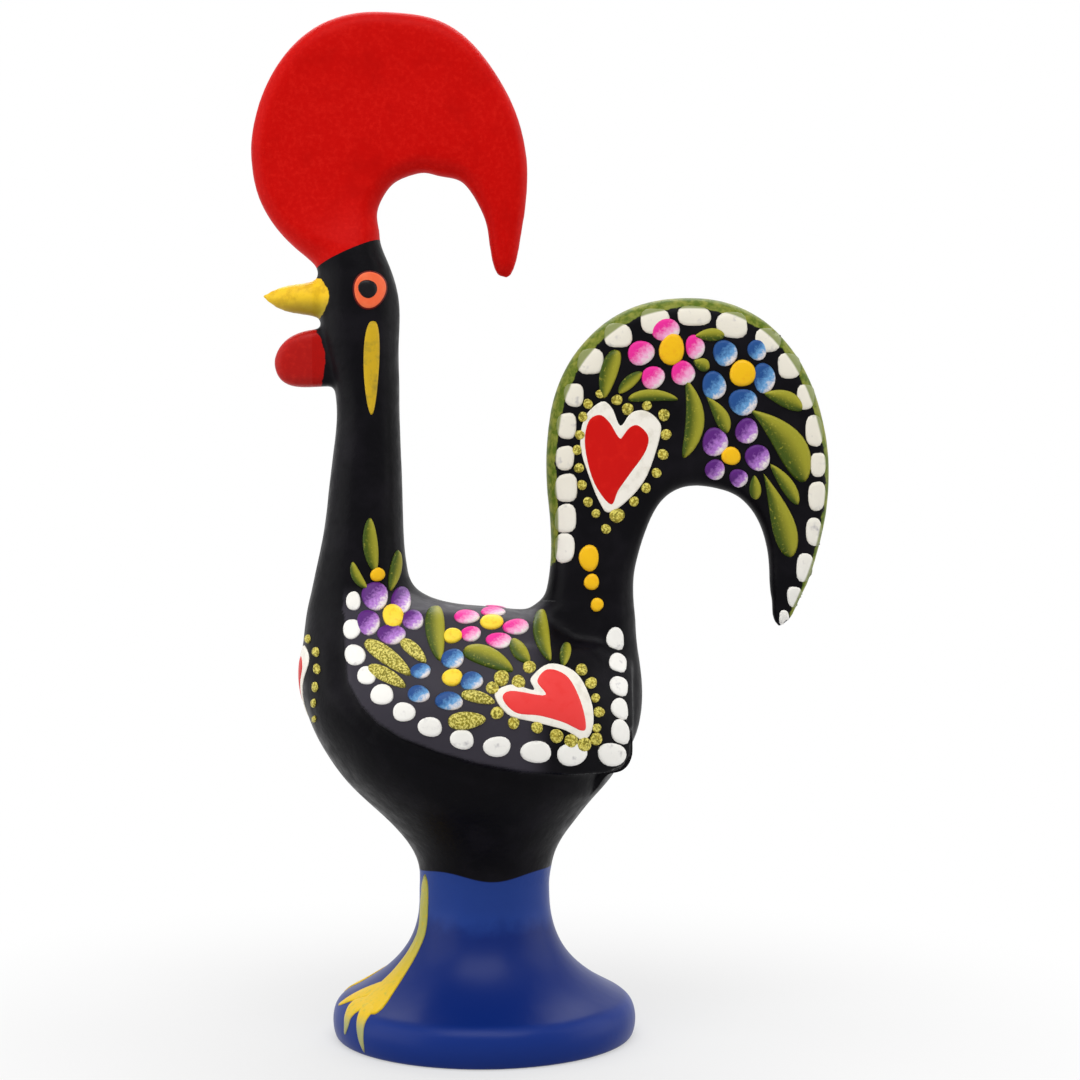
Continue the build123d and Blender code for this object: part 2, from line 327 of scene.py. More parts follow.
def add_waver(tree, width, swing, low=0.2, high=0.8):
    """Return a value that wavers about 0 over patches this wide in mm."""
    span = {"Value": add_patches(tree, width, low, high), "To Min": -swing, "To Max": swing}
    return add_node(tree, "ShaderNodeMapRange", span)


def add_mottle(tree, first, second, width, low, high, detail=3.0):
    """Return a colour that drifts from the first to the second over patches this wide in mm."""
    parts = {"Factor": add_patches(tree, width, low, high, detail), "A": first, "B": second}
    return add_node(tree, "ShaderNodeMix", parts, data_type="RGBA")


def add_height(tree):
    """Return the height above the table."""
    place = add_node(tree, "ShaderNodeTexCoord").outputs["Object"]
    return add_node(tree, "ShaderNodeSeparateXYZ", {"Vector": place}).outputs["Z"]


def add_by_level(tree, level, ends, first, second):
    """Return a colour that goes from the first to the second between two ends of a level, in mm."""
    span = {"Value": level, "From Min": ends[0] * MM, "From Max": ends[1] * MM}
    share = add_node(tree, "ShaderNodeMapRange", span, interpolation_type="SMOOTHSTEP")
    return add_node(tree, "ShaderNodeMix", {"Factor": share, "A": first, "B": second}, data_type="RGBA")


def finish_paint(paint, colour_value, roughness, specular, relief, varnish=None, detail=3.0):
    """Give a paint its shader, with brush marks or pits that are this wide and deep in mm."""
    tree = paint.node_tree
    width, depth = relief
    bump = {"Height": add_marks(tree, width, detail, 0.55), "Strength": 1.0, "Distance": depth * MM}
    sockets = {
        "Base Color": colour_value,
        "Roughness": roughness,
        "Specular IOR Level": specular,
        "Normal": add_node(tree, "ShaderNodeBump", bump),
    }
    if varnish is not None:
        sockets.update({"Coat Weight": varnish, "Coat Roughness": VARNISH_ROUGHNESS})
    shader = add_node(tree, "ShaderNodeBsdfPrincipled", sockets)
    add_node(tree, "ShaderNodeOutputMaterial", {"Surface": shader})
    return paint


# ------------------------------------------------------------ clay skin


def merged_copies():
    """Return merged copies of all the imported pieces, joined into one object."""
    copies = [add_object("copy_" + name, node.data.copy()) for name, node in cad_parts.items()]
    pick(*copies)
    bpy.ops.object.mode_set(mode="EDIT")
    bpy.ops.mesh.select_all(action="SELECT")
    bpy.ops.mesh.remove_doubles(threshold=0.001 * MM)
    bpy.ops.object.mode_set(mode="OBJECT")
    bpy.ops.object.join()
    joined = bpy.context.object
    joined.name = SKIN
    return joined


def softness(place, reach):
    """Return how much the slip smooths the clay at a place, from 0 to 1."""
    along, _, height = place
    above_comb = (place - COMB_SEAT).dot(COMB_UP)
    joints = [
        abs(above_comb) / (1.3 * reach) if along < 0 else 9.0,
        abs(height - TAIL_SEAT) / reach if along > 0 else 9.0,
        abs(height - FOOT_TOP) / reach,
        (place - BEAK_SEAT).length / reach,
        (place - WATTLE_SEAT).length / (1.2 * reach),
        abs(height - BACK_SEAM) / (1.1 * reach),
    ]
    joints += [hypot(along - x * MM, height - z * MM) / (share * reach) for x, z, share in SOFT_SPOTS]
    return max(0.1, 1.0 - min(joints))


def seen_at(place):
    """Return where the photograph shows a place, in pixels, with the far flank as its mirror image."""
    scale = PICTURE_FOCAL / (EYE_AWAY - abs(place.y))
    along, up = (place.x - EYE_ALONG) * scale, (place.z - EYE_HEIGHT) * scale
    return Vector((PICTURE_MIDDLE + along, PICTURE_MIDDLE - up))


def beyond_wing(spot):
    """Return how far outside the wing's edge a photo pixel lies; inside it, the value is negative."""
    nearest = 1000.0
    for first, last in zip(WING_EDGE, WING_EDGE[1:]):
        run = Vector(last) - Vector(first)
        away = spot - Vector(first)
        gap = away - run * min(1.0, max(0.0, away.dot(run) / run.length_squared))
        if gap.length < abs(nearest):
            nearest = gap.length if run.x * gap.y > run.y * gap.x else -gap.length
    return nearest


def smooth_share(value, low, high):
    """Return 0 at the low end, 1 at the high end, and an even swing between them."""
    share = min(1.0, max(0.0, (value - low) / (high - low)))
    return share * share * (3 - 2 * share)


def carve_wings(skin):
    """Carve the step below each wing's edge, which runs out softly into the belly."""
    moves = []
    for vertex in skin.data.vertices:
        if abs(vertex.co.y) < 6 * MM or not WING_LOW < vertex.co.z < WING_TOP:
            continue
        spot = seen_at(vertex.co)
        away = beyond_wing(spot)
        if STEP_RISES[0] < away < STEP_RUNS_OUT[0]:
            share = smooth_share(away, *STEP_RISES) * smooth_share(away, *STEP_RUNS_OUT)
            depth = WING_STEP * share * smooth_share(spot.y, *STEP_STARTS)
            moves.append((vertex.index, vertex.co - vertex.normal * depth))
    for number, place in moves:
        skin.data.vertices[number].co = place


def soften(skin, sizes):
    """Smooth the skin lightly all over, and more where pieces meet."""
    joints = skin.vertex_groups.new(name="joints")
    body = skin.vertex_groups.new(name="body")
    for vertex in skin.data.vertices:
        joints.add((vertex.index,), softness(vertex.co, sizes.soft_joint), "REPLACE")
        share = (vertex.co.z - DENTS_END) / (DENTS_FROM - DENTS_END)
        body.add((vertex.index,), min(1.0, max(0.0, share)), "REPLACE")
    for group, factor, turns in (("joints", 0.9, 42), ("body", 0.6, 3)):
        smooth = skin.modifiers.new("smooth_" + group, "SMOOTH")
        smooth.vertex_group = group
        smooth.factor = factor
        smooth.iterations = turns
        bpy.ops.object.modifier_apply(modifier=smooth.name)
    carve_wings(skin)
    dents = bpy.data.textures.new("dents_of_the_hand", "CLOUDS")
    dents.noise_scale = sizes.unevenness_width
    dents.noise_depth = 1
    dent = skin.modifiers.new("dents", "DISPLACE")
    dent.texture = dents
    dent.texture_coords = "LOCAL"
    dent.strength = sizes.unevenness
    dent.mid_level = 0.5
    dent.vertex_group = "body"
    bpy.ops.object.modifier_apply(modifier=dent.name)
    skin.vertex_groups.clear()


def mould_skin(sizes):
    """Mould one clay skin over all the pieces, as the slip and enamel make it."""
    skin = merged_copies()
    off_grid = Matrix.Translation(Vector((0.31, 0.43, 0.37)) * sizes.grain)
    skin.data.transform(off_grid)
    remesh = skin.modifiers.new("clay", "REMESH")
    remesh.mode = "VOXEL"
    remesh.voxel_size = sizes.grain
    remesh.use_smooth_shade = True
    bpy.ops.object.modifier_apply(modifier=remesh.name)
    skin.data.transform(off_grid.inverted())
    soften(skin, sizes)
    return skin


@lru_cache(maxsize=None)
def surface():
    """Return the skin as a tree for sight lines, with its corners' normals."""
    mesh = bpy.data.objects[SKIN].data
    corners = [vertex.co.copy() for vertex in mesh.vertices]
    faces = [tuple(face.vertices) for face in mesh.polygons]
    normals = [vertex.normal.copy() for vertex in mesh.vertices]
    return BVHTree.FromPolygons(corners, faces), faces, normals


def copy_skin(name, source=SKIN):
    """Return a copy of a skin with its own mesh, picked and in edit mode."""
    skin = bpy.data.objects[source]
    piece = add_object(name, skin.data.copy())
    pick(piece)
    bpy.ops.object.mode_set(mode="EDIT")
    return piece


def cut(piece, place, normal, wanted, fill=True):
    """Cut the wanted faces of a piece along a plane, and drop those behind the plane."""
    bpy.ops.mesh.select_mode(type="FACE")
    bpy.ops.mesh.select_all(action="DESELECT")
    edit = bmesh.from_edit_mesh(piece.data)
    for face in edit.faces:
        if wanted(face.calc_center_median()):
            face.select_set(True)
    bmesh.update_edit_mesh(piece.data)
    bpy.ops.mesh.bisect(
        plane_co=place, plane_no=normal, use_fill=fill, clear_inner=True, threshold=0.0001 * MM
    )


def keep_part(piece, spot):
    """Delete the loose parts of a piece but the one that lies nearest to a spot."""
    edit = bmesh.from_edit_mesh(piece.data)
    first = min(edit.verts, key=lambda corner: (corner.co - spot).length_squared)
    kept = {first}
    front = [first]
    while front:
        for edge in front.pop().link_edges:
            for corner in edge.verts:
                if corner not in kept:
                    kept.add(corner)
                    front.append(corner)
    bmesh.ops.delete(edit, geom=[corner for corner in edit.verts if corner not in kept], context="VERTS")
    bmesh.update_edit_mesh(piece.data)


def leave_piece(piece):
    """Leave edit mode and shade a cut piece smooth, with crisp edges at its cuts."""
    bpy.ops.object.mode_set(mode="OBJECT")
    pick(piece)
    bpy.ops.object.shade_smooth_by_angle(angle=radians(60))


def within(*spans):
    """Return a test for places inside one of these spans, in mm: along from and to, up from and to."""

    def wanted(place):
        return any(
            back * MM < place.x < front * MM and low * MM < place.z < high * MM
            for back, front, low, high in spans
        )

    return wanted


# Which faces each cut goes through
anywhere = within((-60, 60, -10, 200))
round_head = within((-29, -9, 105, 200), (-60, -9, 114, 200))
round_stump = within((4, 30, 58, 72))
round_beak = within((-60, -20, 106.2, 114.4))
round_wattle = within((-60, -20, 95, 106.2))


def figure():
    """Return the outer skin above the foot, closed below, made once."""
    if FIGURE in bpy.data.objects:
        return bpy.data.objects[FIGURE]
    piece = copy_skin(FIGURE)
    cut(piece, UP * FOOT_TOP, UP, anywhere, False)
    keep_part(piece, UP)
    bpy.ops.mesh.select_mode(type="EDGE")
    bpy.ops.mesh.select_all(action="DESELECT")
    bpy.ops.mesh.select_non_manifold()
    bpy.ops.mesh.edge_face_add()
    bpy.ops.object.mode_set(mode="OBJECT")
    return piece


# ---------------------------------------------------------- brush marks


def touch(across, down, side, on_breast):
    """Return where the sight line through a photo pixel meets the skin, and the normal there.

    Side 1 is the flank in the photograph, and side -1 is its mirror image. On the breast, the
    place is given in metres across and up, and is seen from straight ahead.
    """
    tree, faces, normals = surface()
    if on_breast:
        eye = Vector((-BREAST_EYE, -across, down))
        line = -FORWARD
        away = BREAST_EYE - BREAST_REACH
    else:
        right, drop = (across - PICTURE_MIDDLE) / PICTURE_FOCAL, (down - PICTURE_MIDDLE) / PICTURE_FOCAL
        eye = Vector((EYE_ALONG, -EYE_AWAY * side, EYE_HEIGHT))
        line = Vector((right, side, -drop))
        away = EYE_AWAY - FLANK_REACH
    hit, _, number, _ = tree.ray_cast(eye, line)
    if hit is None:
        hit, _, number, _ = tree.find_nearest(eye + line * away)
    normal = sum((normals[corner] for corner in faces[number]), Vector()).normalized()
    return hit, normal


@lru_cache(maxsize=None)
def blank(spokes, rings):
    """Return the corners and faces of a round blank, from which a dab is shaped.

    A new ball has its faces in another order each time, so they are put in one order.
    """
    leave_edit()
    bpy.ops.mesh.primitive_uv_sphere_add(segments=spokes, ring_count=rings, radius=1.0)
    ball = bpy.context.object
    corners = [tuple(vertex.co) for vertex in ball.data.vertices]
    faces = sorted((tuple(face.vertices) for face in ball.data.polygons), key=sorted)
    mesh = ball.data
    bpy.data.objects.remove(ball)
    bpy.data.meshes.remove(mesh)
    return corners, faces


def breast_dab(middle, points):
    """Return a dab with a smooth outline, in metres across and up the breast."""
    flat = outline_dab((0.0, 0.0), [(x - middle[0], middle[1] - y) for x, y in points])

    def shape(x, y):
        across, down, along, aside = flat(x, y)
        return across, middle[1] - down, along, aside

    return shape


def round_dab(across, down, width, height, corner=None, square=0.0):
    """Return a round dab, a little uneven, in photo pixels.

    A corner is drawn out by the brush, and a share of square makes it a rounded square.
    """

    def shape(x, y):
        angle = atan2(y, x)
        swell = 1 + DAB_UNEVEN * (4 * sin(2 * angle + across) + 3 * sin(3 * angle + down))
        swell += SQUARE_SWELL * square * sin(2 * angle) ** 2
        if corner is not None:
            swell += CORNER_SWELL * max(0.0, cos(angle - radians(corner))) ** 9
        right = x * swell * width / 2
        up = y * swell * height / 2
        along = 0.5 + 0.5 * (x * cos(BRUSH_TURN) + y * sin(BRUSH_TURN))
        return across + right, down - up, along, hypot(x, y)

    return shape


def stroke(start, end, width, bend, belly):
    """Return a leaf stroke in photo pixels, bent to the left of its run and fullest at the belly."""
    first, last = Vector(start), Vector(end)
    run = last - first
    left = Vector((run.y, -run.x)).normalized()
    power = log(0.5) / log(belly)

    def shape(x, y):
        share = min(1.0, max(0.0, (x + 1) / 2))
        chord = max(1e-6, 1 - x * x) ** 0.5
        half = width / 2 * sin(pi * share ** power) ** 0.5
        aside = max(-1.0, min(1.0, y / chord)) if chord > 0.01 else 0.0
        spot = first + run * share + left * (4 * bend * share * (1 - share) + aside * half)
        return spot.x, spot.y, share, 0.5 + 0.5 * aside

    return shape


def spline_spot(corners, first, part):
    """Return the spot at a part of the way from a corner to the next, on a smooth curve through them."""
    before, low, high, beyond = (corners[(first + step) % len(corners)] for step in (-1, 0, 1, 2))
    bend = 2 * before - 5 * low + 4 * high - beyond + part * (3 * (low - high) + beyond - before)
    return low + 0.5 * part * (high - before + part * bend)


def outline_dab(middle, points):
    """Return a dab with a smooth outline through points, which go clockwise round a middle."""
    centre = Vector(middle)
    corners = [Vector(point) for point in points]

    def shape(x, y):
        place = atan2(-y, x) / (2 * pi) % 1.0 * len(corners)
        spot = centre.lerp(spline_spot(corners, int(place), place % 1.0), hypot(x, y))
        return spot.x, spot.y, 0.5 + 0.5 * x, 0.5 + 0.5 * y

    return shape


def ribbon(*rows):
    """Return a drawn-out stroke through rows of across, down and width, in photo pixels."""
    spots = [Vector(row) for row in rows]
    spots = [2 * spots[0] - spots[1], *spots, 2 * spots[-1] - spots[-2]]

    def along(share):
        place = min(0.9999, max(0.0, share)) * (len(rows) - 1)
        return spline_spot(spots, int(place) + 1, place % 1.0)

    def shape(x, y):
        share = 0.5 + 0.5 * x
        run = along(share + 0.02).xy - along(share - 0.02).xy
        left = Vector((run.y, -run.x)).normalized()
        chord = max(1e-6, 1 - x * x) ** 0.5
        aside = max(-1.0, min(1.0, y / chord)) if chord > 0.01 else 0.0
        middle = along(share)
        spot = middle.xy + left * (aside * middle.z / 2 * min(1.0, 2.2 * chord))
        return spot.x, spot.y, share, 0.5 + 0.5 * aside

    return shape


def lay_dab(edit, brush, shape, side, rise, fullness, spokes, rings, on_breast):
    """Lay one closed dab of thick paint on the skin, with its edge sunk in."""
    corners, faces = blank(spokes, rings)
    made = []
    marks = []
    for x, y, z in corners:
        across, down, along, aside = shape(x, y)
        place, normal = touch(across, down, side, on_breast)
        lift = rise * z ** fullness if z > 0 else -DAB_SUNK * (-z) ** 0.5
        made.append(edit.verts.new(place + normal * lift))
        marks.append((along, aside))
    for face in faces:
        order = face if side > 0 else face[::-1]
        new = edit.faces.new([made[number] for number in order])
        new.smooth = True
        for loop, number in zip(new.loops, order):
            loop[brush].uv = marks[number]


def paint_group(name, shapes, rise, fullness=0.45, spokes=20, rings=8, on_breast=False):
    """Make one piece of all the dabs of a kind, on both flanks or on the breast."""
    edit = bmesh.new()
    brush = edit.loops.layers.uv.new("brush")
    for side in (1,) if on_breast else (1, -1):
        for shape in shapes:
            lay_dab(edit, brush, shape, side, rise, fullness, spokes, rings, on_breast)
    mesh = bpy.data.meshes.new(name)
    edit.to_mesh(mesh)
    edit.free()
    return add_object(name, mesh)


# How deep a dab's edge sinks in, how uneven its outline is, and how far a rounded square and a
# drawn-out corner stand out from a round dab, and which way the brush lay from a petal's dark
# side to its white one
DAB_SUNK = 0.2 * MM
DAB_UNEVEN = 0.01
SQUARE_SWELL = 0.14
CORNER_SWELL = 0.34
BRUSH_TURN = radians(-45.0)

# Brush marks in photo pixels: middle across and down, width and height
TAIL_PEARLS = (
    (564.7, 548, 20, 29), (565.7, 518.6, 21, 29), (566.3, 488, 22, 29), (565, 458, 19, 24),
    (566.7, 426, 19, 27), (574, 395, 19, 24), (590.8, 361.6, 26, 26), (618, 335.5, 27, 25),
    (655, 321, 28, 26), (694, 316, 33, 20), (732, 325, 31, 26), (768, 340, 25, 25), (789, 366, 23, 25),
    (805.5, 397, 17, 26), (814, 431, 17, 31), (818, 464.7, 15, 25), (816.7, 496, 17, 29),
    (814, 532, 16, 28), (805, 567.6, 17, 29), (794.7, 597, 15, 21), (784, 618, 10, 15),
)
WING_PEARLS = (
    (353.4, 601, 14, 20), (352, 629, 18, 20), (355, 655, 21, 21), (366.5, 675.5, 18, 19),
    (382, 694.6, 24, 20), (404, 712, 22, 20), (430, 727, 24, 20), (462, 739.5, 24, 20),
    (497, 746.7, 27, 21), (536, 752, 30, 23), (572, 754.5, 30, 23), (612, 754.5, 28, 24),
)
REAR_PEARLS = (
    (615, 638, 18, 21), (617.6, 662, 17, 19), (618.6, 685.4, 18, 19), (619.3, 708, 17, 20),
    (620, 731, 19, 23),
)
GOLD_DOTS = (
    (600, 394, 9), (617, 400, 11), (588, 404, 10), (627.6, 409, 12), (647, 405.5, 10), (583, 417, 10),
    (664, 415, 12), (580, 435, 10), (666, 434.5, 11), (577, 450, 10), (663, 454.5, 11), (579, 468, 10),
    (656.5, 473, 10), (582, 485, 10), (588, 502, 10), (596, 513.5, 9), (606, 529, 10), (617, 515.5, 15),
    (634, 501.6, 10), (646, 488, 10), (529.4, 667, 13), (501.5, 678, 16), (518.5, 682, 14),
    (492.4, 688, 13), (581.5, 669.7, 12), (591, 683, 12), (595.4, 698, 9), (599, 712, 11),
    (596.6, 728, 9), (596, 739, 13), (497, 713, 13), (513.6, 723, 12), (537, 727.5, 12),
    (556.6, 736, 14), (571, 741, 14), (584, 744.6, 15),
)
# The dots beside the breast's heart are seen from the side, so each is narrow
BREAST_DOTS = (
    (308, 639, 5, 9), (316, 652, 6.5, 10.5), (317, 669, 6.5, 11), (315.2, 687, 5.5, 11),
    (313.8, 703, 4.5, 9), (314.4, 719, 3.5, 7),
)
PINK_PETALS = (
    (641, 353, 27, 25), (666, 330, 28, 23), (695, 347, 20, 24), (683, 373, 25, 24),
    (653, 377.6, 24, 23), (466.6, 617, 25, 14), (493, 612, 25, 9), (516, 627, 26, 16),
    (499, 640.6, 26, 16), (470.7, 634, 21, 15),
)
BLUE_PETALS = (
    (725, 353, 24, 27), (757, 350, 19, 21), (764, 378, 23, 30), (743, 402, 28, 28),
    (714, 385.5, 25, 28), (452.6, 658.7, 23, 20), (420.6, 671, 21, 15), (471.5, 681, 23, 19),
    (418.6, 694, 23, 17), (449, 701, 28, 19),
)
PURPLE_PETALS = (
    (715, 442, 27, 28), (746.7, 431, 24, 25), (757.6, 457.6, 26, 26), (738.6, 478, 19, 18),
    (715, 469.6, 21, 20), (375, 596, 28, 28), (401, 600.6, 21, 27), (368.5, 622.4, 24, 25),
    (412.8, 620, 23, 19), (391.5, 634.5, 28, 21),
)
AMBER_CENTRES = (
    (671.8, 349.4, 26, 32), (742.7, 373.3, 26, 28), (731, 456, 19, 19), (377.4, 574.6, 14.5, 14.5),
    (589, 558, 21, 26), (591.6, 582, 15, 17), (597, 604.7, 13, 14),
)
# Flower centres on the wings, painted a paler yellow than the tail's amber as painted light from above
LIT_WING_CENTRES = (
    (491.6, 622.4, 23, 15), (452.6, 636, 19, 15), (452.3, 677.7, 21, 17), (393.2, 616.3, 22, 23),
)

# Leaf strokes in photo pixels: start, end, width, bend and the place of the fullest part
LEAVES = (
    ((617, 350), (603.6, 398), 18, -2, 0.4), ((642, 372), (618.6, 393), 12, -1, 0.5),
    ((628.2, 399), (678, 399.4), 12, 4, 0.4), ((694.5, 336.5), (725, 335), 13, 1, 0.6),
    ((693.6, 361), (709, 369), 13, 1, 0.6), ((686.2, 380), (684, 458), 19, 10, 0.55),
    ((706.3, 396.7), (727.5, 433), 15, 3, 0.65), ((763.9, 393.5), (803, 409), 17, 3, 0.6),
    ((750.3, 410), (805.6, 481), 31, 10, 0.65), ((770, 464), (798, 504.5), 14, 2, 0.6),
    ((763.2, 473), (791, 557), 24, 3, 0.7), ((754.3, 475.3), (756, 499.5), 12, 0, 0.6),
    ((369.7, 518), (375, 572), 15, -2, 0.5), ((352.2, 562), (367, 589), 10, -3, 0.5),
    ((398, 550), (390, 591), 11, 1, 0.5), ((434.8, 605.5), (440, 661), 20, -2, 0.35),
    ((463.4, 650), (513, 671), 20, 3, 0.4), ((511, 639), (529, 662.5), 15, -1, 0.5),
    ((541, 609), (550, 661), 16, -4, 0.4), ((567, 643), (563, 666), 11, 0, 0.4),
)
SPECKLED_LEAVES = (
    ((365, 641), (411, 675), 17, 1, 0.4), ((401, 640), (426, 662.5), 13, 1, 0.4),
    ((368, 666.5), (406, 687), 14, 1, 0.4), ((461.3, 694), (495, 702.5), 12, 1, 0.4),
    ((448, 722), (486, 719), 18, 0, 0.4),
)

# The hearts of tail and wing in photo pixels: the middle, and points clockwise round it
TAIL_HEART_MIDDLE = (616, 446)
TAIL_HEART_GROUND = (
    (601.4, 401.7), (612, 408), (620.4, 425.8), (631, 413), (645, 410.6), (658, 420), (660.6, 434),
    (647.2, 475.4), (629.3, 499), (609.2, 512.6), (600, 503), (590.3, 479.9), (580.4, 446.4),
    (584.7, 417.3),
)
TAIL_HEART_FIELD = (
    (599.2, 414.6), (609.2, 421.8), (620.4, 438.5), (629, 428), (638.3, 425.1), (648.6, 436.4),
    (645, 453), (629.3, 475.4), (618.2, 491), (610.4, 504.9), (593.6, 482.1), (584.7, 446.4),
    (588, 422),
)
WING_HEART_MIDDLE = (558, 702)
WING_HEART_GROUND = (
    (494.5, 694.4), (510.8, 684.7), (533.6, 690.1), (530.8, 678.2), (549.8, 663.6), (575.9, 672.8),
    (591, 700.9), (592.8, 727), (583.4, 740), (565, 730.2), (536.8, 722.6), (508.6, 715),
)
WING_HEART_FIELD = (
    (502.1, 698.8), (510.8, 691.2), (544.4, 695.5), (536.8, 681.4), (547.7, 669.5), (567.2, 677),
    (580.2, 700.9), (585.6, 724.8), (581.3, 730.9), (562.8, 722.6), (539, 716), (515.1, 712.9),
)

# The heart on the breast, in millimetres: the middle's height, and points across and up from it
BREAST_MIDDLE = 53.2
BREAST_GROUND = (
    (0, 3.1), (3.4, 5.0), (6.6, 3.2), (5.5, 0), (0, -6.2), (-5.5, 0), (-6.6, 3.2), (-3.4, 5.0),
)
BREAST_FIELD = (
    (0, 1.7), (2.9, 3.4), (4.9, 2.0), (4.0, -0.2), (0, -4.0), (-4.0, -0.2), (-4.9, 2.0), (-2.9, 3.4),
)

# The eye, as round dabs, and the stroke below it, in photo pixels
EYE_HALO = (369.7, 289.7, 36, 38)
EYE_RING = (369.7, 289.7, 33, 35.5)
PUPIL = (367.4, 289.1, 19, 19)
CHEEK = ((373, 321), (371.5, 415), 16, -1, 0.36)

# The leg and toes on the foot, in photo pixels: rows of across, down and width
LEG = (
    (425, 874, 6), (424.4, 901, 8), (422.3, 930, 8), (414, 950, 9), (404, 966, 11), (391, 983, 15),
    (374, 1002, 22), (364, 1012, 14),
)
TOES = (
    ((386, 984, 9), (365, 993, 9), (350, 999, 5), (338, 1005.5, 1.5)),
    ((372, 1000, 14), (356, 1006, 12), (348.5, 1016, 7), (346.5, 1026, 4), (345, 1035, 1)),
    ((376, 1000, 14), (366, 1011, 12), (361, 1023, 8.5), (361, 1038, 5), (364.5, 1053, 1)),
)

# The lamps: name, place, size and power, in metres and watts, and where they all point
LAMPS = (
    ("top_softbox", (0.0, -0.36, 0.68), (0.7, 0.4), 3.2),
    ("left_softbox", (-0.58, -0.17, 0.26), (0.6, 0.6), 1.65),
    ("right_softbox", (0.6, 0.03, 0.26), (0.5, 0.6), 1.4),
    ("back_softbox", (0.0, 0.42, 0.62), (0.7, 0.4), 2.6),
)
LAMP_AIM = Vector((8.0, 0.0, 75.0)) * MM

# How thick and how rough the varnish lies on the foot's blue, as shader values
FOOT_VARNISH = 0.13
VARNISH_ROUGHNESS = 0.3

# How wide the floor is, and between which distances from the foot's middle it turns from its
# first share of white to pure white, in metres
FLOOR_WIDTH = 6.0
FLOOR_NEAR = 0.024
FLOOR_FAR = 0.12
FLOOR_WHITE = 0.5

# How strongly the world fills the shadows
WORLD_FILL = 0.31


# ------------------------------------------------------------- paints


def show_white(tree, plain, white, share):
    """Let sight lines and reflections see the white shader in place of a share of the plain one."""
    path = add_node(tree, "ShaderNodeLightPath").outputs
    rays = {0: path["Is Camera Ray"], 1: path["Is Glossy Ray"]}
    seen = add_node(tree, "ShaderNodeMath", rays, operation="MAXIMUM")
    also = add_node(tree, "ShaderNodeMath", {0: seen, 1: path["Is Transmission Ray"]}, operation="MAXIMUM")
    part = add_node(tree, "ShaderNodeMath", {0: also, 1: share}, operation="MULTIPLY")
    return add_node(tree, "ShaderNodeMixShader", {0: part, 1: plain, 2: white})


def floor_finish():
    """Matt white paper sweep: it takes the rooster's soft shadow and turns pure white farther out."""
    paint = new_paint("paper_sweep")
    tree = paint.node_tree
    place = add_node(tree, "ShaderNodeTexCoord").outputs["Object"]
    away = add_node(tree, "ShaderNodeVectorMath", {0: place}, operation="LENGTH")
    span = {"Value": away, "From Min": FLOOR_NEAR, "From Max": FLOOR_FAR, "To Min": FLOOR_WHITE}
    share = add_node(tree, "ShaderNodeMapRange", span, interpolation_type="SMOOTHSTEP")
    paper = add_node(tree, "ShaderNodeBsdfDiffuse", {"Color": linear_colour("#D6D6D6")})
    white = add_node(tree, "ShaderNodeEmission", {"Strength": 1.0})
    add_node(tree, "ShaderNodeOutputMaterial", {"Surface": show_white(tree, paper, white, share)})
    return paint


def set_world(scene):
    """Fill the shadows with a dim white world that shows as white behind the rooster."""
    world = bpy.data.worlds.new("studio")
    world.use_nodes = True
    tree = world.node_tree
    tree.nodes.clear()
    colour_value = linear_colour("#FFFFFF")
    fill = add_node(tree, "ShaderNodeBackground", {"Color": colour_value, "Strength": WORLD_FILL})
    white = add_node(tree, "ShaderNodeBackground", {"Color": colour_value, "Strength": 1.0})
    add_node(tree, "ShaderNodeOutputWorld", {"Surface": show_white(tree, fill, white, 1.0)})
    scene.world = world


@lru_cache(maxsize=None)
def plume_reach():
    """Return how far the plume reaches from the tail's middle, in each of the edge's directions."""
    reach = [0.0] * EDGE_STEPS
    for vertex in bpy.data.objects[SKIN].data.vertices:
        along, up = vertex.co.x - TAIL_MIDDLE[0], vertex.co.z - TAIL_MIDDLE[1]
        if vertex.co.x > PLUME_FRONT and vertex.co.z > PLUME_LOW:
            place = int(atan2(up, along) / (2 * pi) % 1.0 * EDGE_STEPS)
            reach[place] = max(reach[place], hypot(along, up))
    return reach


def mark_edge(mesh):
    """Mark each corner by how near it lies to the plume's outer edge: 1 at the inner side of the olive."""
    reach = plume_reach()
    values = []
    for vertex in mesh.vertices:
        along, up = vertex.co.x - TAIL_MIDDLE[0], vertex.co.z - TAIL_MIDDLE[1]
        turn = atan2(up, along) / (2 * pi) % 1.0
        place = turn * EDGE_STEPS - 0.5
        part = place % 1.0
        low, high = (reach[int(place // 1 + step) % EDGE_STEPS] for step in (0, 1))
        inward = low * (1 - part) + high * part - hypot(along, up)
        width = OLIVE_WIDTH + OLIVE_WIDER_ABOVE * max(0.0, sin(2 * pi * turn))
        width += OLIVE_WIDER_AHEAD * max(0.0, -cos(2 * pi * turn))
        painted = (360 * turn < OLIVE_END or 360 * turn > OLIVE_START) and inward > -OLIVE_FADE
        values.append(max(0.0, 1.0 + (width - inward) / OLIVE_FADE) if painted else 0.0)
    mesh.attributes.new("edge_share", "FLOAT", "POINT").data.foreach_set("value", values)


def mark_wing_sheen(mesh):
    """Mark each wing's forward part for its painted sheen, which runs out towards the tail: 1 on it, 0
    beyond.
    """
    values = [0.0] * len(mesh.vertices)
    for vertex in mesh.vertices:
        if abs(vertex.co.y) > 2 * MM and WING_LOW < vertex.co.z < WING_TOP + 2 * MM:
            spot = seen_at(vertex.co)
            inside = smooth_share(-beyond_wing(spot), 0.0, 3.0) * smooth_share(spot.y, *SHEEN_FROM_TOP)
            values[vertex.index] = inside * smooth_share(spot.x, *SHEEN_FROM_TAIL)
    mesh.attributes.new("wing_sheen_share", "FLOAT", "POINT").data.foreach_set("value", values)


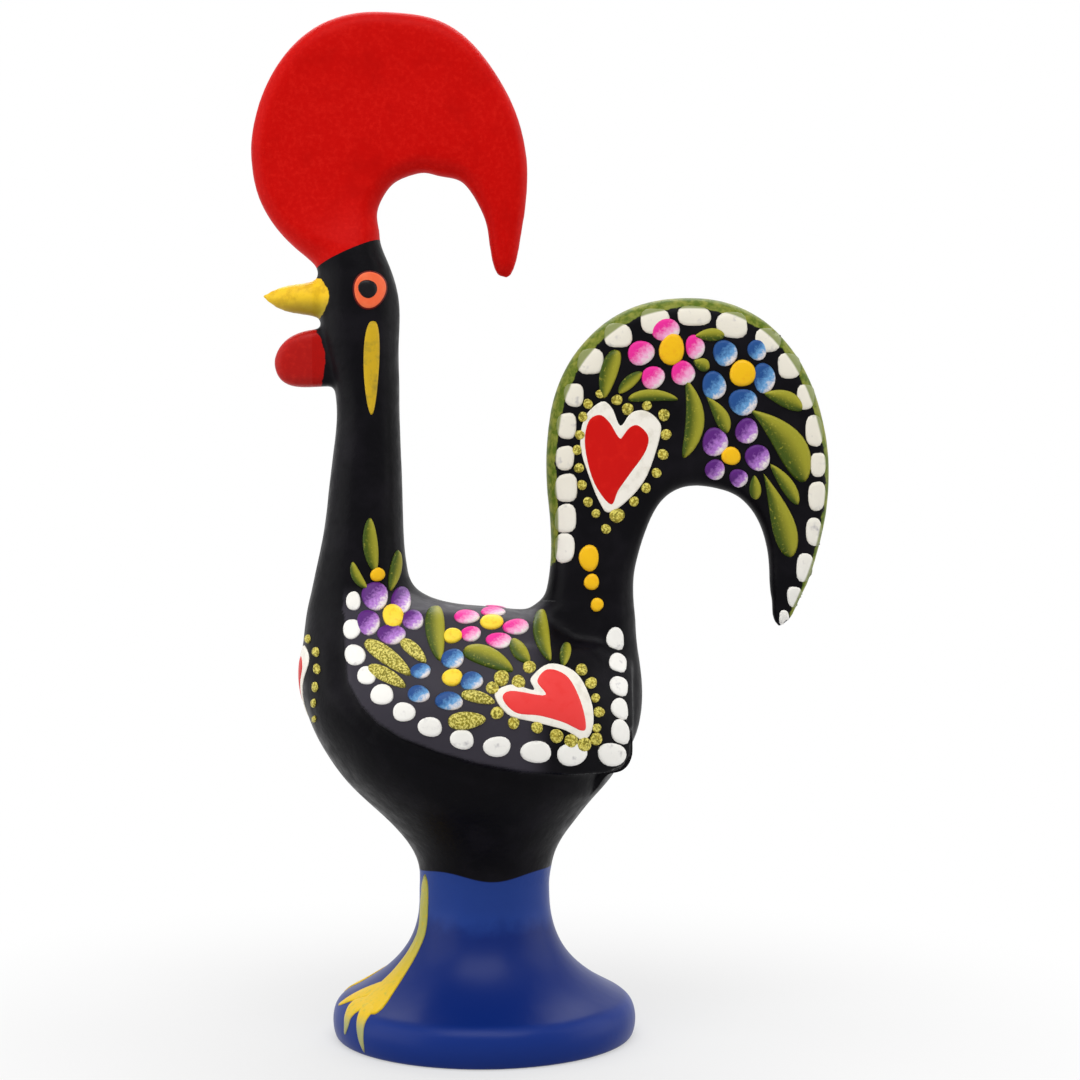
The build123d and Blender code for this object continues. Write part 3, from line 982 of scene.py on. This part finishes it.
def add_inside(tree, middle, radii, swing):
    """Return 1 inside a rounded region of the side view, in mm, and 0 outside, with a wavering edge."""
    place = add_node(tree, "ShaderNodeTexCoord").outputs["Object"]
    centre = (middle[0] * MM, 0.0, middle[1] * MM)
    shifted = add_node(tree, "ShaderNodeVectorMath", {0: place, 1: centre}, operation="SUBTRACT")
    scale = (per_metre(radii[0]), 0.0, per_metre(radii[1]))
    scaled = add_node(tree, "ShaderNodeVectorMath", {0: shifted, 1: scale}, operation="MULTIPLY")
    away = add_node(tree, "ShaderNodeVectorMath", {0: scaled}, operation="LENGTH")
    total = add_node(tree, "ShaderNodeMath", {0: away, 1: add_waver(tree, 1.5, swing)}, operation="ADD")
    span = {"Value": total, "From Min": 1.02, "From Max": 0.98}
    return add_node(tree, "ShaderNodeMapRange", span, interpolation_type="SMOOTHSTEP")


def add_below_line(tree):
    """Return 1 below the wavy line where the body's black meets the foot's blue, and 0 above it."""
    place = add_node(tree, "ShaderNodeTexCoord").outputs["Object"]
    parts = add_node(tree, "ShaderNodeSeparateXYZ", {"Vector": place}).outputs
    phase = {0: parts["X"], 1: 2 * pi * per_metre(LINE_WAVE), 2: 2 * pi * LINE_SHIFT / LINE_WAVE}
    turn = add_node(tree, "ShaderNodeMath", phase, operation="MULTIPLY_ADD")
    wave = add_node(tree, "ShaderNodeMath", {0: turn}, operation="COSINE")
    swing = {0: wave, 1: -LINE_SWING * MM, 2: parts["Z"]}
    level = add_node(tree, "ShaderNodeMath", swing, operation="MULTIPLY_ADD")
    span = {"Value": level, "From Min": (LINE_HEIGHT + 0.1) * MM, "From Max": (LINE_HEIGHT - 0.1) * MM}
    return add_node(tree, "ShaderNodeMapRange", span, interpolation_type="SMOOTHSTEP")


def worn_black(tree, colours):
    """Return the black of body and tail, a little lighter where the brush left it thin."""
    return add_mottle(tree, colours.black, linear_colour("#121015"), width=7.0, low=0.42, high=0.72)


def body_enamel(colours):
    """Alkyd enamel, brushed over fired clay and varnished: deep black with a soft broad sheen.

    The wings' forward parts have a painted sheen, a greyer black. The yellow of the beak and the red
    of the wattle lap on to the face, and the blue of the foot runs up to a wavy line.
    """
    paint = new_paint("body_enamel_paint")
    tree = paint.node_tree
    # The wings' painted sheen: a greyer black laid on their forward parts
    painted_sheen = add_node(tree, "ShaderNodeAttribute", attribute_name="wing_sheen_share").outputs["Fac"]
    ground = worn_black(tree, colours)
    for share, over in (
        (painted_sheen, colours.wing_sheen_black),
        (add_inside(tree, *BEAK_LAP), beak_colour(tree, colours)),
        (add_inside(tree, *WATTLE_LAP), colours.wattle_red),
        (add_below_line(tree), foot_blue_with_reflections(tree, colours)),
    ):
        ground = add_node(tree, "ShaderNodeMix", {"Factor": share, "A": ground, "B": over}, data_type="RGBA")
    coat = {0: add_below_line(tree), 1: FOOT_VARNISH}
    varnish = add_node(tree, "ShaderNodeMath", coat, operation="MULTIPLY")
    span = {"Value": add_patches(tree, width=2.2, low=0.3, high=0.7), "To Min": 0.3, "To Max": 0.46}
    rough = add_node(tree, "ShaderNodeMapRange", span)
    return finish_paint(paint, ground, rough, specular=0.06, relief=(0.9, 0.05), varnish=varnish)


def comb_enamel(colours):
    """Red enamel, stippled thickly with a stiff brush: a fine mottle of lighter and darker red."""
    paint = new_paint("red_enamel_paint")
    tree = paint.node_tree
    mottle = add_mottle(tree, colours.red, colours.bright_red, width=0.6, low=0.4, high=0.8, detail=5.0)
    deep = add_mottle(tree, mottle, linear_colour("#BE0401"), width=6.0, low=0.45, high=0.8)
    return finish_paint(paint, deep, roughness=0.45, specular=0.06, relief=(0.7, 0.035))


def wattle_enamel(colours):
    """Dark red enamel, laid on in one thick even coat: flat colour with a soft sheen."""
    paint = new_paint("wattle_enamel_paint")
    light = linear_colour("#C22018")
    mottle = add_mottle(paint.node_tree, colours.wattle_red, light, width=0.8, low=0.45, high=0.8)
    return finish_paint(paint, mottle, roughness=0.4, specular=0.12, relief=(0.8, 0.02))


def foot_blue_with_reflections(tree, colours):
    """Return the foot's blue, with painted reflection: paler round the waist and on the rim, dark on the
    flare.
    """
    patches = add_patches(tree, width=4.0, low=0.25, high=0.75)
    uneven = {0: patches, 1: WAIST_REFLECTION_UNEVEN * MM, 2: add_height(tree)}
    level = add_node(tree, "ShaderNodeMath", uneven, operation="MULTIPLY_ADD")
    flare = add_by_level(tree, level, WAIST_REFLECTION_STARTS, colours.blue, colours.waist_reflection_blue)
    return add_by_level(tree, add_height(tree), RIM_REFLECTION_STARTS, flare, colours.rim_reflection_blue)


def foot_enamel(colours):
    """Blue enamel under a coat of varnish: broad reflections with a soft edge."""
    paint = new_paint("blue_enamel_paint")
    blue = foot_blue_with_reflections(paint.node_tree, colours)
    look = {"roughness": 0.36, "specular": 0.06, "varnish": FOOT_VARNISH}
    return finish_paint(paint, blue, relief=(3.5, 0.06), detail=1.0, **look)


def beak_colour(tree, colours):
    """Return the beak's yellow, with streaks, turning olive towards its underside."""
    bright = linear_colour("#F8CB2A")
    streaks = add_mottle(tree, colours.beak_yellow, bright, width=1.6, low=0.35, high=0.6)
    return add_by_level(tree, add_height(tree), BEAK_OLIVE_STARTS, streaks, linear_colour("#A8922A"))


def beak_enamel(colours):
    """Yellow enamel, streaked along the beak, turning olive towards its underside."""
    paint = new_paint("beak_enamel_paint")
    yellow = beak_colour(paint.node_tree, colours)
    return finish_paint(paint, yellow, roughness=0.4, specular=0.15, relief=(0.8, 0.05))


def tail_enamel(colours):
    """Black enamel with an olive edge drawn round the plume: the brush leaves a thin streaky line."""
    paint = new_paint("tail_enamel_paint")
    tree = paint.node_tree
    edge = add_node(tree, "ShaderNodeAttribute", attribute_name="edge_share").outputs["Fac"]
    shifted = add_node(tree, "ShaderNodeMath", {0: edge, 1: add_waver(tree, 2.0, 0.16)}, operation="ADD")
    span = {"Value": shifted, "From Min": 0.95, "From Max": 1.05}
    olive = add_node(tree, "ShaderNodeMapRange", span, interpolation_type="SMOOTHSTEP")
    dark, light = linear_colour("#556A1C"), linear_colour("#8A8F3C")
    streaky = add_mottle(tree, dark, light, width=1.2, low=0.35, high=0.65)
    parts = {"Factor": olive, "A": worn_black(tree, colours), "B": streaky}
    whole = add_node(tree, "ShaderNodeMix", parts, data_type="RGBA")
    return finish_paint(paint, whole, roughness=0.36, specular=0.06, relief=(0.9, 0.05))


def pearl_paint(colours):
    """White enamel, dabbed on thickly with a round brush: grey in drifting patches.

    The tail's pearls are creamier, and the olive of its edge laps over them.
    """
    paint = new_paint("white_dab_paint")
    tree = paint.node_tree
    low, high = PEARLS_CREAM_BETWEEN
    span = {"Value": add_height(tree), "From Min": low * MM, "From Max": high * MM}
    share = add_node(tree, "ShaderNodeMapRange", span)
    parts = {"Factor": share, "A": linear_colour("#FAF8F2"), "B": colours.pearl}
    white = add_node(tree, "ShaderNodeMix", parts, data_type="RGBA")
    cloudy = add_mottle(tree, white, colours.shade, width=2.2, low=0.58, high=0.8)
    edge = add_node(tree, "ShaderNodeAttribute", attribute_name="edge_share").outputs["Fac"]
    span = {"Value": edge, "From Min": 0.9, "From Max": 1.08, "To Max": 0.88}
    lap = add_node(tree, "ShaderNodeMapRange", span, interpolation_type="SMOOTHSTEP")
    parts = {"Factor": lap, "A": cloudy, "B": linear_colour("#74812F")}
    lapped = add_node(tree, "ShaderNodeMix", parts, data_type="RGBA")
    return finish_paint(paint, lapped, roughness=0.4, specular=0.15, relief=(1.0, 0.08))


def gold_paint(name, value, bright):
    """Gold enamel with coarse pigment, half dry on the brush: fine pale speckles on olive gold."""
    paint = new_paint(name)
    tree = paint.node_tree
    dark = add_mottle(tree, linear_colour("#7C7422"), value, width=0.9, low=0.35, high=0.65)
    speckled = add_mottle(tree, dark, bright, width=0.3, low=0.44, high=0.58)
    return finish_paint(paint, speckled, roughness=0.45, specular=0.15, relief=(0.45, 0.06))


def petal_paint(name, dark, light):
    """Enamel in two colours on one brush, pressed down once: a dark side that runs out to white."""
    paint = new_paint(name)
    tree = paint.node_tree
    brush = add_node(tree, "ShaderNodeUVMap", uv_map="brush")
    along = add_node(tree, "ShaderNodeSeparateXYZ", {"Vector": brush}).outputs["X"]
    waver = add_waver(tree, 0.45, 0.12, low=0.25, high=0.75)
    place = add_node(tree, "ShaderNodeMath", {0: along, 1: waver}, operation="ADD")
    ground = dark
    for start, end, over in ((0.33, 0.66, light), (0.68, 0.92, linear_colour("#F2E9E6"))):
        share = add_node(tree, "ShaderNodeMapRange", {"Value": place, "From Min": start, "From Max": end})
        ground = add_node(tree, "ShaderNodeMix", {"Factor": share, "A": ground, "B": over}, data_type="RGBA")
    return finish_paint(paint, ground, roughness=0.38, specular=0.15, relief=(0.8, 0.05))


def centre_paint(name, value):
    """Yellow enamel, one thick drop: even colour, smooth and round."""
    paint = new_paint(name)
    warm = add_mottle(paint.node_tree, value, linear_colour("#F5B21E"), width=0.8, low=0.5, high=0.8)
    return finish_paint(paint, warm, roughness=0.35, specular=0.15, relief=(1.0, 0.04))


def leaf_paint(colours):
    """Olive and yellow enamel on one brush, drawn out: a dark edge, a bright edge and a streaky middle."""
    paint = new_paint("leaf_paint")
    tree = paint.node_tree
    brush = add_node(tree, "ShaderNodeUVMap", uv_map="brush")
    aside = add_node(tree, "ShaderNodeSeparateXYZ", {"Vector": brush}).outputs["Y"]
    span = {"Value": aside, "From Min": 0.15, "From Max": 0.8}
    share = add_node(tree, "ShaderNodeMapRange", span, interpolation_type="SMOOTHSTEP")
    parts = {"Factor": share, "A": colours.leaf_dark, "B": colours.leaf_light}
    green = add_node(tree, "ShaderNodeMix", parts, data_type="RGBA")
    streaks = add_mottle(tree, green, linear_colour("#B0A83C"), width=0.4, low=0.55, high=0.8)
    return finish_paint(paint, streaks, roughness=0.42, specular=0.15, relief=(0.6, 0.06))


def plain_paint(name, value, second, roughness=0.4):
    """Opaque enamel, laid flat with a soft brush: one colour that drifts a little."""
    paint = new_paint(name)
    drift = add_mottle(paint.node_tree, value, second, width=1.5, low=0.45, high=0.8)
    return finish_paint(paint, drift, roughness, specular=0.15, relief=(1.0, 0.03))


def leg_paint():
    """Yellow enamel, drawn down with one loaded brush: full on the foot, thin and olive on the leg."""
    paint = new_paint("leg_paint")
    tree = paint.node_tree
    yellow, thin = linear_colour("#E6BE1E"), linear_colour("#B2AE52")
    leg = add_by_level(tree, add_height(tree), LEG_THINS, yellow, thin)
    streaks = add_mottle(tree, leg, linear_colour("#C8B43A"), width=0.8, low=0.5, high=0.75)
    toes = add_by_level(tree, add_height(tree), TOES_THIN, streaks, linear_colour("#A9A870"))
    return finish_paint(paint, toes, roughness=0.4, specular=0.15, relief=(0.8, 0.04))


# ----------------------------------------------------------- operators


class MouldedSkin(bpy.types.Operator):
    """Mould the clay skin that the pieces are cut from"""

    bl_idname = "rooster.moulded_skin"
    bl_label = "Moulded skin"

    def execute(self, context):
        mould_skin(context.scene.rooster_sizes)
        return {"FINISHED"}


class Foot(bpy.types.Operator):
    """Cut the round foot from the skin, hollow below and open to the vent"""

    bl_idname = "rooster.foot"
    bl_label = "Foot"

    def execute(self, context):
        piece = copy_skin("round_foot")
        cut(piece, UP * FOOT_TOP, -UP, anywhere, False)
        keep_part(piece, FOOT_SPOT)
        bpy.ops.mesh.select_mode(type="EDGE")
        bpy.ops.mesh.select_all(action="DESELECT")
        bpy.ops.mesh.select_non_manifold()
        bpy.ops.mesh.bridge_edge_loops()
        leave_piece(piece)
        finish_piece(piece, foot_enamel(context.scene.rooster_colours), ("pedestal",))
        return {"FINISHED"}


class Body(bpy.types.Operator):
    """Cut the body with its neck, head and wings from the figure"""

    bl_idname = "rooster.body"
    bl_label = "Body"

    def execute(self, context):
        figure()
        piece = copy_skin("painted_body", FIGURE)
        cut(piece, COMB_SEAT, -COMB_UP, round_head)
        cut(piece, UP * TAIL_SEAT, -UP, round_stump)
        cut(piece, FACE_CUT, -FORWARD, round_beak)
        cut(piece, FACE_CUT, -FORWARD, round_wattle)
        keep_part(piece, BODY_SPOT)
        leave_piece(piece)
        mark_wing_sheen(piece.data)
        stands_for = ("left_body_shell", "right_body_shell", "left_wing", "right_wing")
        finish_piece(piece, body_enamel(context.scene.rooster_colours), stands_for)
        return {"FINISHED"}


class Comb(bpy.types.Operator):
    """Cut the comb from the figure"""

    bl_idname = "rooster.comb"
    bl_label = "Comb"

    def execute(self, context):
        figure()
        piece = copy_skin("red_comb", FIGURE)
        cut(piece, COMB_SEAT, COMB_UP, round_head)
        keep_part(piece, COMB_SPOT)
        leave_piece(piece)
        draw_out_hook(piece)
        finish_piece(piece, comb_enamel(context.scene.rooster_colours), ("comb",))
        return {"FINISHED"}


class Tail(bpy.types.Operator):
    """Cut the tail from the figure, and mark the edge that is painted olive"""

    bl_idname = "rooster.tail"
    bl_label = "Tail"

    def execute(self, context):
        figure()
        piece = copy_skin("painted_tail", FIGURE)
        cut(piece, UP * TAIL_SEAT, UP, round_stump)
        keep_part(piece, TAIL_SPOT)
        leave_piece(piece)
        mark_edge(piece.data)
        finish_piece(piece, tail_enamel(context.scene.rooster_colours), ("tail",))
        return {"FINISHED"}


def draw_out_hook(piece):
    """Draw the comb's hook down to its tip, where the wet enamel gathers."""
    for vertex in piece.data.vertices:
        if vertex.co.x > HOOK_FRONT:
            vertex.co.z -= HOOK_DRAWN * smooth_share(vertex.co.z, *HOOK_HEIGHTS)


def fill_out_beak(piece):
    """Round the beak out towards its tip, where the thick enamel gathers."""
    for vertex in piece.data.vertices:
        share = max(0.0, (FACE_CUT.x - vertex.co.x) / BEAK_LENGTH)
        vertex.co.x -= BEAK_LONGER * share ** 2
        vertex.co.y *= 1 + BEAK_WIDER * share ** 2
        vertex.co.z = BEAK_MIDDLE + (vertex.co.z - BEAK_MIDDLE) * (1 + BEAK_TALLER * share ** 2)


class BeakAndWattle(bpy.types.Operator):
    """Cut the beak and the wattle from the figure"""

    bl_idname = "rooster.beak_and_wattle"
    bl_label = "Beak and wattle"

    def execute(self, context):
        figure()
        colours = context.scene.rooster_colours
        for name, wanted, spot, node, paint, slot in (
            ("yellow_beak", round_beak, BEAK_SPOT, "beak", beak_enamel, "yellow_enamel"),
            ("red_wattle", round_wattle, WATTLE_SPOT, "wattle", wattle_enamel, "red_enamel"),
        ):
            piece = copy_skin(name, FIGURE)
            cut(piece, FACE_CUT, FORWARD, wanted)
            keep_part(piece, spot)
            leave_piece(piece)
            if node == "beak":
                fill_out_beak(piece)
            finish_piece(piece, paint(colours), (node,))
        return {"FINISHED"}


class WhitePearls(bpy.types.Operator):
    """Dab the rows of white pearls along the tail and round the wings"""

    bl_idname = "rooster.white_pearls"
    bl_label = "White pearls"

    def execute(self, context):
        shapes = [round_dab(*row, square=0.8) for row in TAIL_PEARLS]
        shapes += [round_dab(*row, square=0.2) for row in WING_PEARLS]
        shapes += [round_dab(*row, corner=-55.0) for row in REAR_PEARLS]
        rise = context.scene.rooster_sizes.pearl_rise
        piece = paint_group("white_pearls", shapes, rise, fullness=0.35)
        mark_edge(piece.data)
        finish_piece(piece, pearl_paint(context.scene.rooster_colours))
        return {"FINISHED"}


class GoldDots(bpy.types.Operator):
    """Dab the small gold dots round the hearts"""

    bl_idname = "rooster.gold_dots"
    bl_label = "Gold dots"

    def execute(self, context):
        shapes = [round_dab(across, down, size, size) for across, down, size in GOLD_DOTS]
        shapes += [round_dab(*row) for row in BREAST_DOTS]
        rise = context.scene.rooster_sizes.dot_rise
        piece = paint_group("gold_dots", shapes, rise, fullness=0.4, spokes=14, rings=6)
        gold = context.scene.rooster_colours.gold
        finish_piece(piece, gold_paint("gold_dab_paint", gold, linear_colour("#E6DA6C")))
        return {"FINISHED"}


class Leaves(bpy.types.Operator):
    """Stroke the leaves between the flowers"""

    bl_idname = "rooster.leaves"
    bl_label = "Leaves"

    def execute(self, context):
        rise = context.scene.rooster_sizes.leaf_rise
        colours = context.scene.rooster_colours
        gold = linear_colour("#94892A"), linear_colour("#E6DA74")
        for name, rows, paint in (
            ("leaf_strokes", LEAVES, leaf_paint(colours)),
            ("speckled_leaves", SPECKLED_LEAVES, gold_paint("speckled_leaf_paint", *gold)),
        ):
            shapes = [stroke(*row) for row in rows]
            finish_piece(paint_group(name, shapes, rise, fullness=0.4, spokes=32), paint)
        return {"FINISHED"}


class Petals(bpy.types.Operator):
    """Press the pink, blue and purple petals"""

    bl_idname = "rooster.petals"
    bl_label = "Petals"

    def execute(self, context):
        for name, rows, dark, light in (
            ("pink_petals", PINK_PETALS, "#EE2E9A", "#F7A8D2"),
            ("blue_petals", BLUE_PETALS, "#234E8C", "#6AA3D6"),
            ("purple_petals", PURPLE_PETALS, "#5A2378", "#B57AD0"),
        ):
            shapes = [round_dab(*row) for row in rows]
            piece = paint_group(name, shapes, context.scene.rooster_sizes.petal_rise)
            finish_piece(piece, petal_paint(name + "_paint", linear_colour(dark), linear_colour(light)))
        return {"FINISHED"}


class FlowerCentres(bpy.types.Operator):
    """Drop the yellow centres on the flowers, and the three drops below the tail's heart"""

    bl_idname = "rooster.flower_centres"
    bl_label = "Flower centres"

    def execute(self, context):
        rise = context.scene.rooster_sizes.centre_rise
        for name, rows, value in (
            ("amber_centres", AMBER_CENTRES, context.scene.rooster_colours.amber),
            # The wings' centres take a paler yellow: painted light from above
            ("yellow_centres", LIT_WING_CENTRES, linear_colour("#FFDD3F")),
        ):
            piece = paint_group(name, [round_dab(*row) for row in rows], rise)
            finish_piece(piece, centre_paint(name + "_paint", value))
        return {"FINISHED"}


class Hearts(bpy.types.Operator):
    """Paint the hearts of the tail, wings and breast: a red field on a white ground"""

    bl_idname = "rooster.hearts"
    bl_label = "Hearts"

    def execute(self, context):
        sizes = context.scene.rooster_sizes
        colours = context.scene.rooster_colours
        white = plain_paint("heart_white_paint", linear_colour("#FAF5EA"), linear_colour("#E8E2D4"))
        red = plain_paint("heart_red_paint", colours.heart_red, linear_colour("#DA1A10"))
        # The wings' heart red is a lighter copy of the heart red: painted light
        lit_heart_red = plain_paint("lit_wing_heart_paint", colours.lit_heart_red, linear_colour("#EE3A38"))
        for place, middle, ground, field, red_paint in (
            ("tail", TAIL_HEART_MIDDLE, TAIL_HEART_GROUND, TAIL_HEART_FIELD, red),
            ("wing", WING_HEART_MIDDLE, WING_HEART_GROUND, WING_HEART_FIELD, lit_heart_red),
        ):
            for kind, outline, rise, paint in (
                ("ground", ground, sizes.ground_rise, white),
                ("field", field, sizes.field_rise, red_paint),
            ):
                shape = outline_dab(middle, outline)
                name = f"{place}_heart_{kind}"
                piece = paint_group(name, [shape], rise, fullness=0.3, spokes=64, rings=24)
                finish_piece(piece, paint)
        for kind, outline, rise, paint in (
            ("ground", BREAST_GROUND, sizes.ground_rise, white),
            ("field", BREAST_FIELD, sizes.field_rise, red),
        ):
            points = [(across * MM, (BREAST_MIDDLE + up) * MM) for across, up in outline]
            shape = breast_dab((0.0, BREAST_MIDDLE * MM), points)
            name = f"breast_heart_{kind}"
            piece = paint_group(name, [shape], rise, fullness=0.3, spokes=48, rings=16, on_breast=True)
            finish_piece(piece, paint)
        return {"FINISHED"}


class EyesAndCheeks(bpy.types.Operator):
    """Paint the ringed eyes and the yellow stroke below each"""

    bl_idname = "rooster.eyes_and_cheeks"
    bl_label = "Eyes and cheeks"

    def execute(self, context):
        colours = context.scene.rooster_colours
        rise = context.scene.rooster_sizes.stroke_rise
        halo = plain_paint("eye_halo_paint", linear_colour("#5A0C08"), linear_colour("#6E120C"))
        ring = plain_paint("eye_orange_paint", colours.orange, linear_colour("#F87A4E"))
        pupil = plain_paint("pupil_paint", colours.black, linear_colour("#120C12"), 0.25)
        cheek = plain_paint("cheek_paint", linear_colour("#D2AC22"), linear_colour("#A08A2E"))
        for name, shape, share, fullness, spokes, rings, paint in (
            ("eye_halos", round_dab(*EYE_HALO), 0.6, 0.3, 40, 10, halo),
            ("eye_rings", round_dab(*EYE_RING), 1.2, 0.3, 40, 12, ring),
            ("pupils", round_dab(*PUPIL), 2.0, 0.4, 32, 10, pupil),
            ("cheek_strokes", stroke(*CHEEK), 1.0, 0.5, 40, 10, cheek),
        ):
            piece = paint_group(name, [shape], share * rise, fullness, spokes, rings)
            finish_piece(piece, paint)
        return {"FINISHED"}


class BirdFeet(bpy.types.Operator):
    """Paint the two yellow legs with their toes on the foot"""

    bl_idname = "rooster.bird_feet"
    bl_label = "Bird feet"

    def execute(self, context):
        shapes = [ribbon(*rows) for rows in (LEG, *TOES)]
        rise = context.scene.rooster_sizes.stroke_rise
        piece = paint_group("painted_legs", shapes, rise, fullness=0.5, spokes=48)
        finish_piece(piece, leg_paint())
        return {"FINISHED"}


class Stage(bpy.types.Operator):
    """Set the pale floor, the soft lamps, the world and the camera"""

    bl_idname = "rooster.stage"
    bl_label = "Stage"

    def execute(self, context):
        leave_edit()
        bpy.ops.mesh.primitive_plane_add(size=FLOOR_WIDTH)
        floor = bpy.context.object
        floor.name = "pale_floor"
        floor.data.materials.append(floor_finish())
        for name, place, size, power in LAMPS:
            turn = (LAMP_AIM - Vector(place)).to_track_quat("-Z", "Y").to_euler()
            bpy.ops.object.light_add(type="AREA", location=place, rotation=turn)
            lamp = bpy.context.object
            lamp.name = name
            lamp.data.shape = "RECTANGLE"
            lamp.data.size, lamp.data.size_y = size
            lamp.data.energy = power
        set_world(context.scene)
        bpy.ops.object.camera_add(location=(EYE_ALONG, -EYE_AWAY, EYE_HEIGHT), rotation=(pi / 2, 0, 0))
        camera = bpy.context.object
        camera.data.sensor_width = SENSOR_WIDTH
        camera.data.lens = SENSOR_WIDTH * PICTURE_FOCAL / (2 * PICTURE_MIDDLE)
        camera.data.clip_start = 10 * MM
        context.scene.camera = camera
        context.scene.view_settings.view_transform = "Standard"
        return {"FINISHED"}


PIECES = (
    MouldedSkin,
    Foot,
    Body,
    Comb,
    Tail,
    BeakAndWattle,
    WhitePearls,
    GoldDots,
    Leaves,
    Petals,
    FlowerCentres,
    Hearts,
    EyesAndCheeks,
    BirdFeet,
    Stage,
)


class RoosterPanel(bpy.types.Panel):
    """List the rooster's sizes, colours and pieces"""

    bl_idname = "VIEW3D_PT_rooster"
    bl_label = "Painted clay rooster"
    bl_space_type = "VIEW_3D"
    bl_region_type = "UI"
    bl_category = "Rooster"

    def draw(self, context):
        for group in (context.scene.rooster_sizes, context.scene.rooster_colours):
            box = self.layout.box()
            for name in group.__annotations__:
                box.prop(group, name)
        for piece in PIECES:
            self.layout.operator(piece.bl_idname)


CLASSES = (RoosterSizes, RoosterColours, *PIECES, RoosterPanel)


def register():
    """Add the rooster's sizes, colours, operators and panel to Blender."""
    for each in CLASSES:
        bpy.utils.register_class(each)
    bpy.types.Scene.rooster_sizes = bpy.props.PointerProperty(type=RoosterSizes)
    bpy.types.Scene.rooster_colours = bpy.props.PointerProperty(type=RoosterColours)


def unregister():
    """Take them out again."""
    del bpy.types.Scene.rooster_colours
    del bpy.types.Scene.rooster_sizes
    for each in reversed(CLASSES):
        bpy.utils.unregister_class(each)


def main():
    """Make every piece in order."""
    register()
    for piece in PIECES:
        group, name = piece.bl_idname.split(".")
        getattr(getattr(bpy.ops, group), name)()
    leave_edit()
    for name in (SKIN, FIGURE):
        bpy.data.objects.remove(bpy.data.objects[name])


if __name__ == "__main__":
    main()
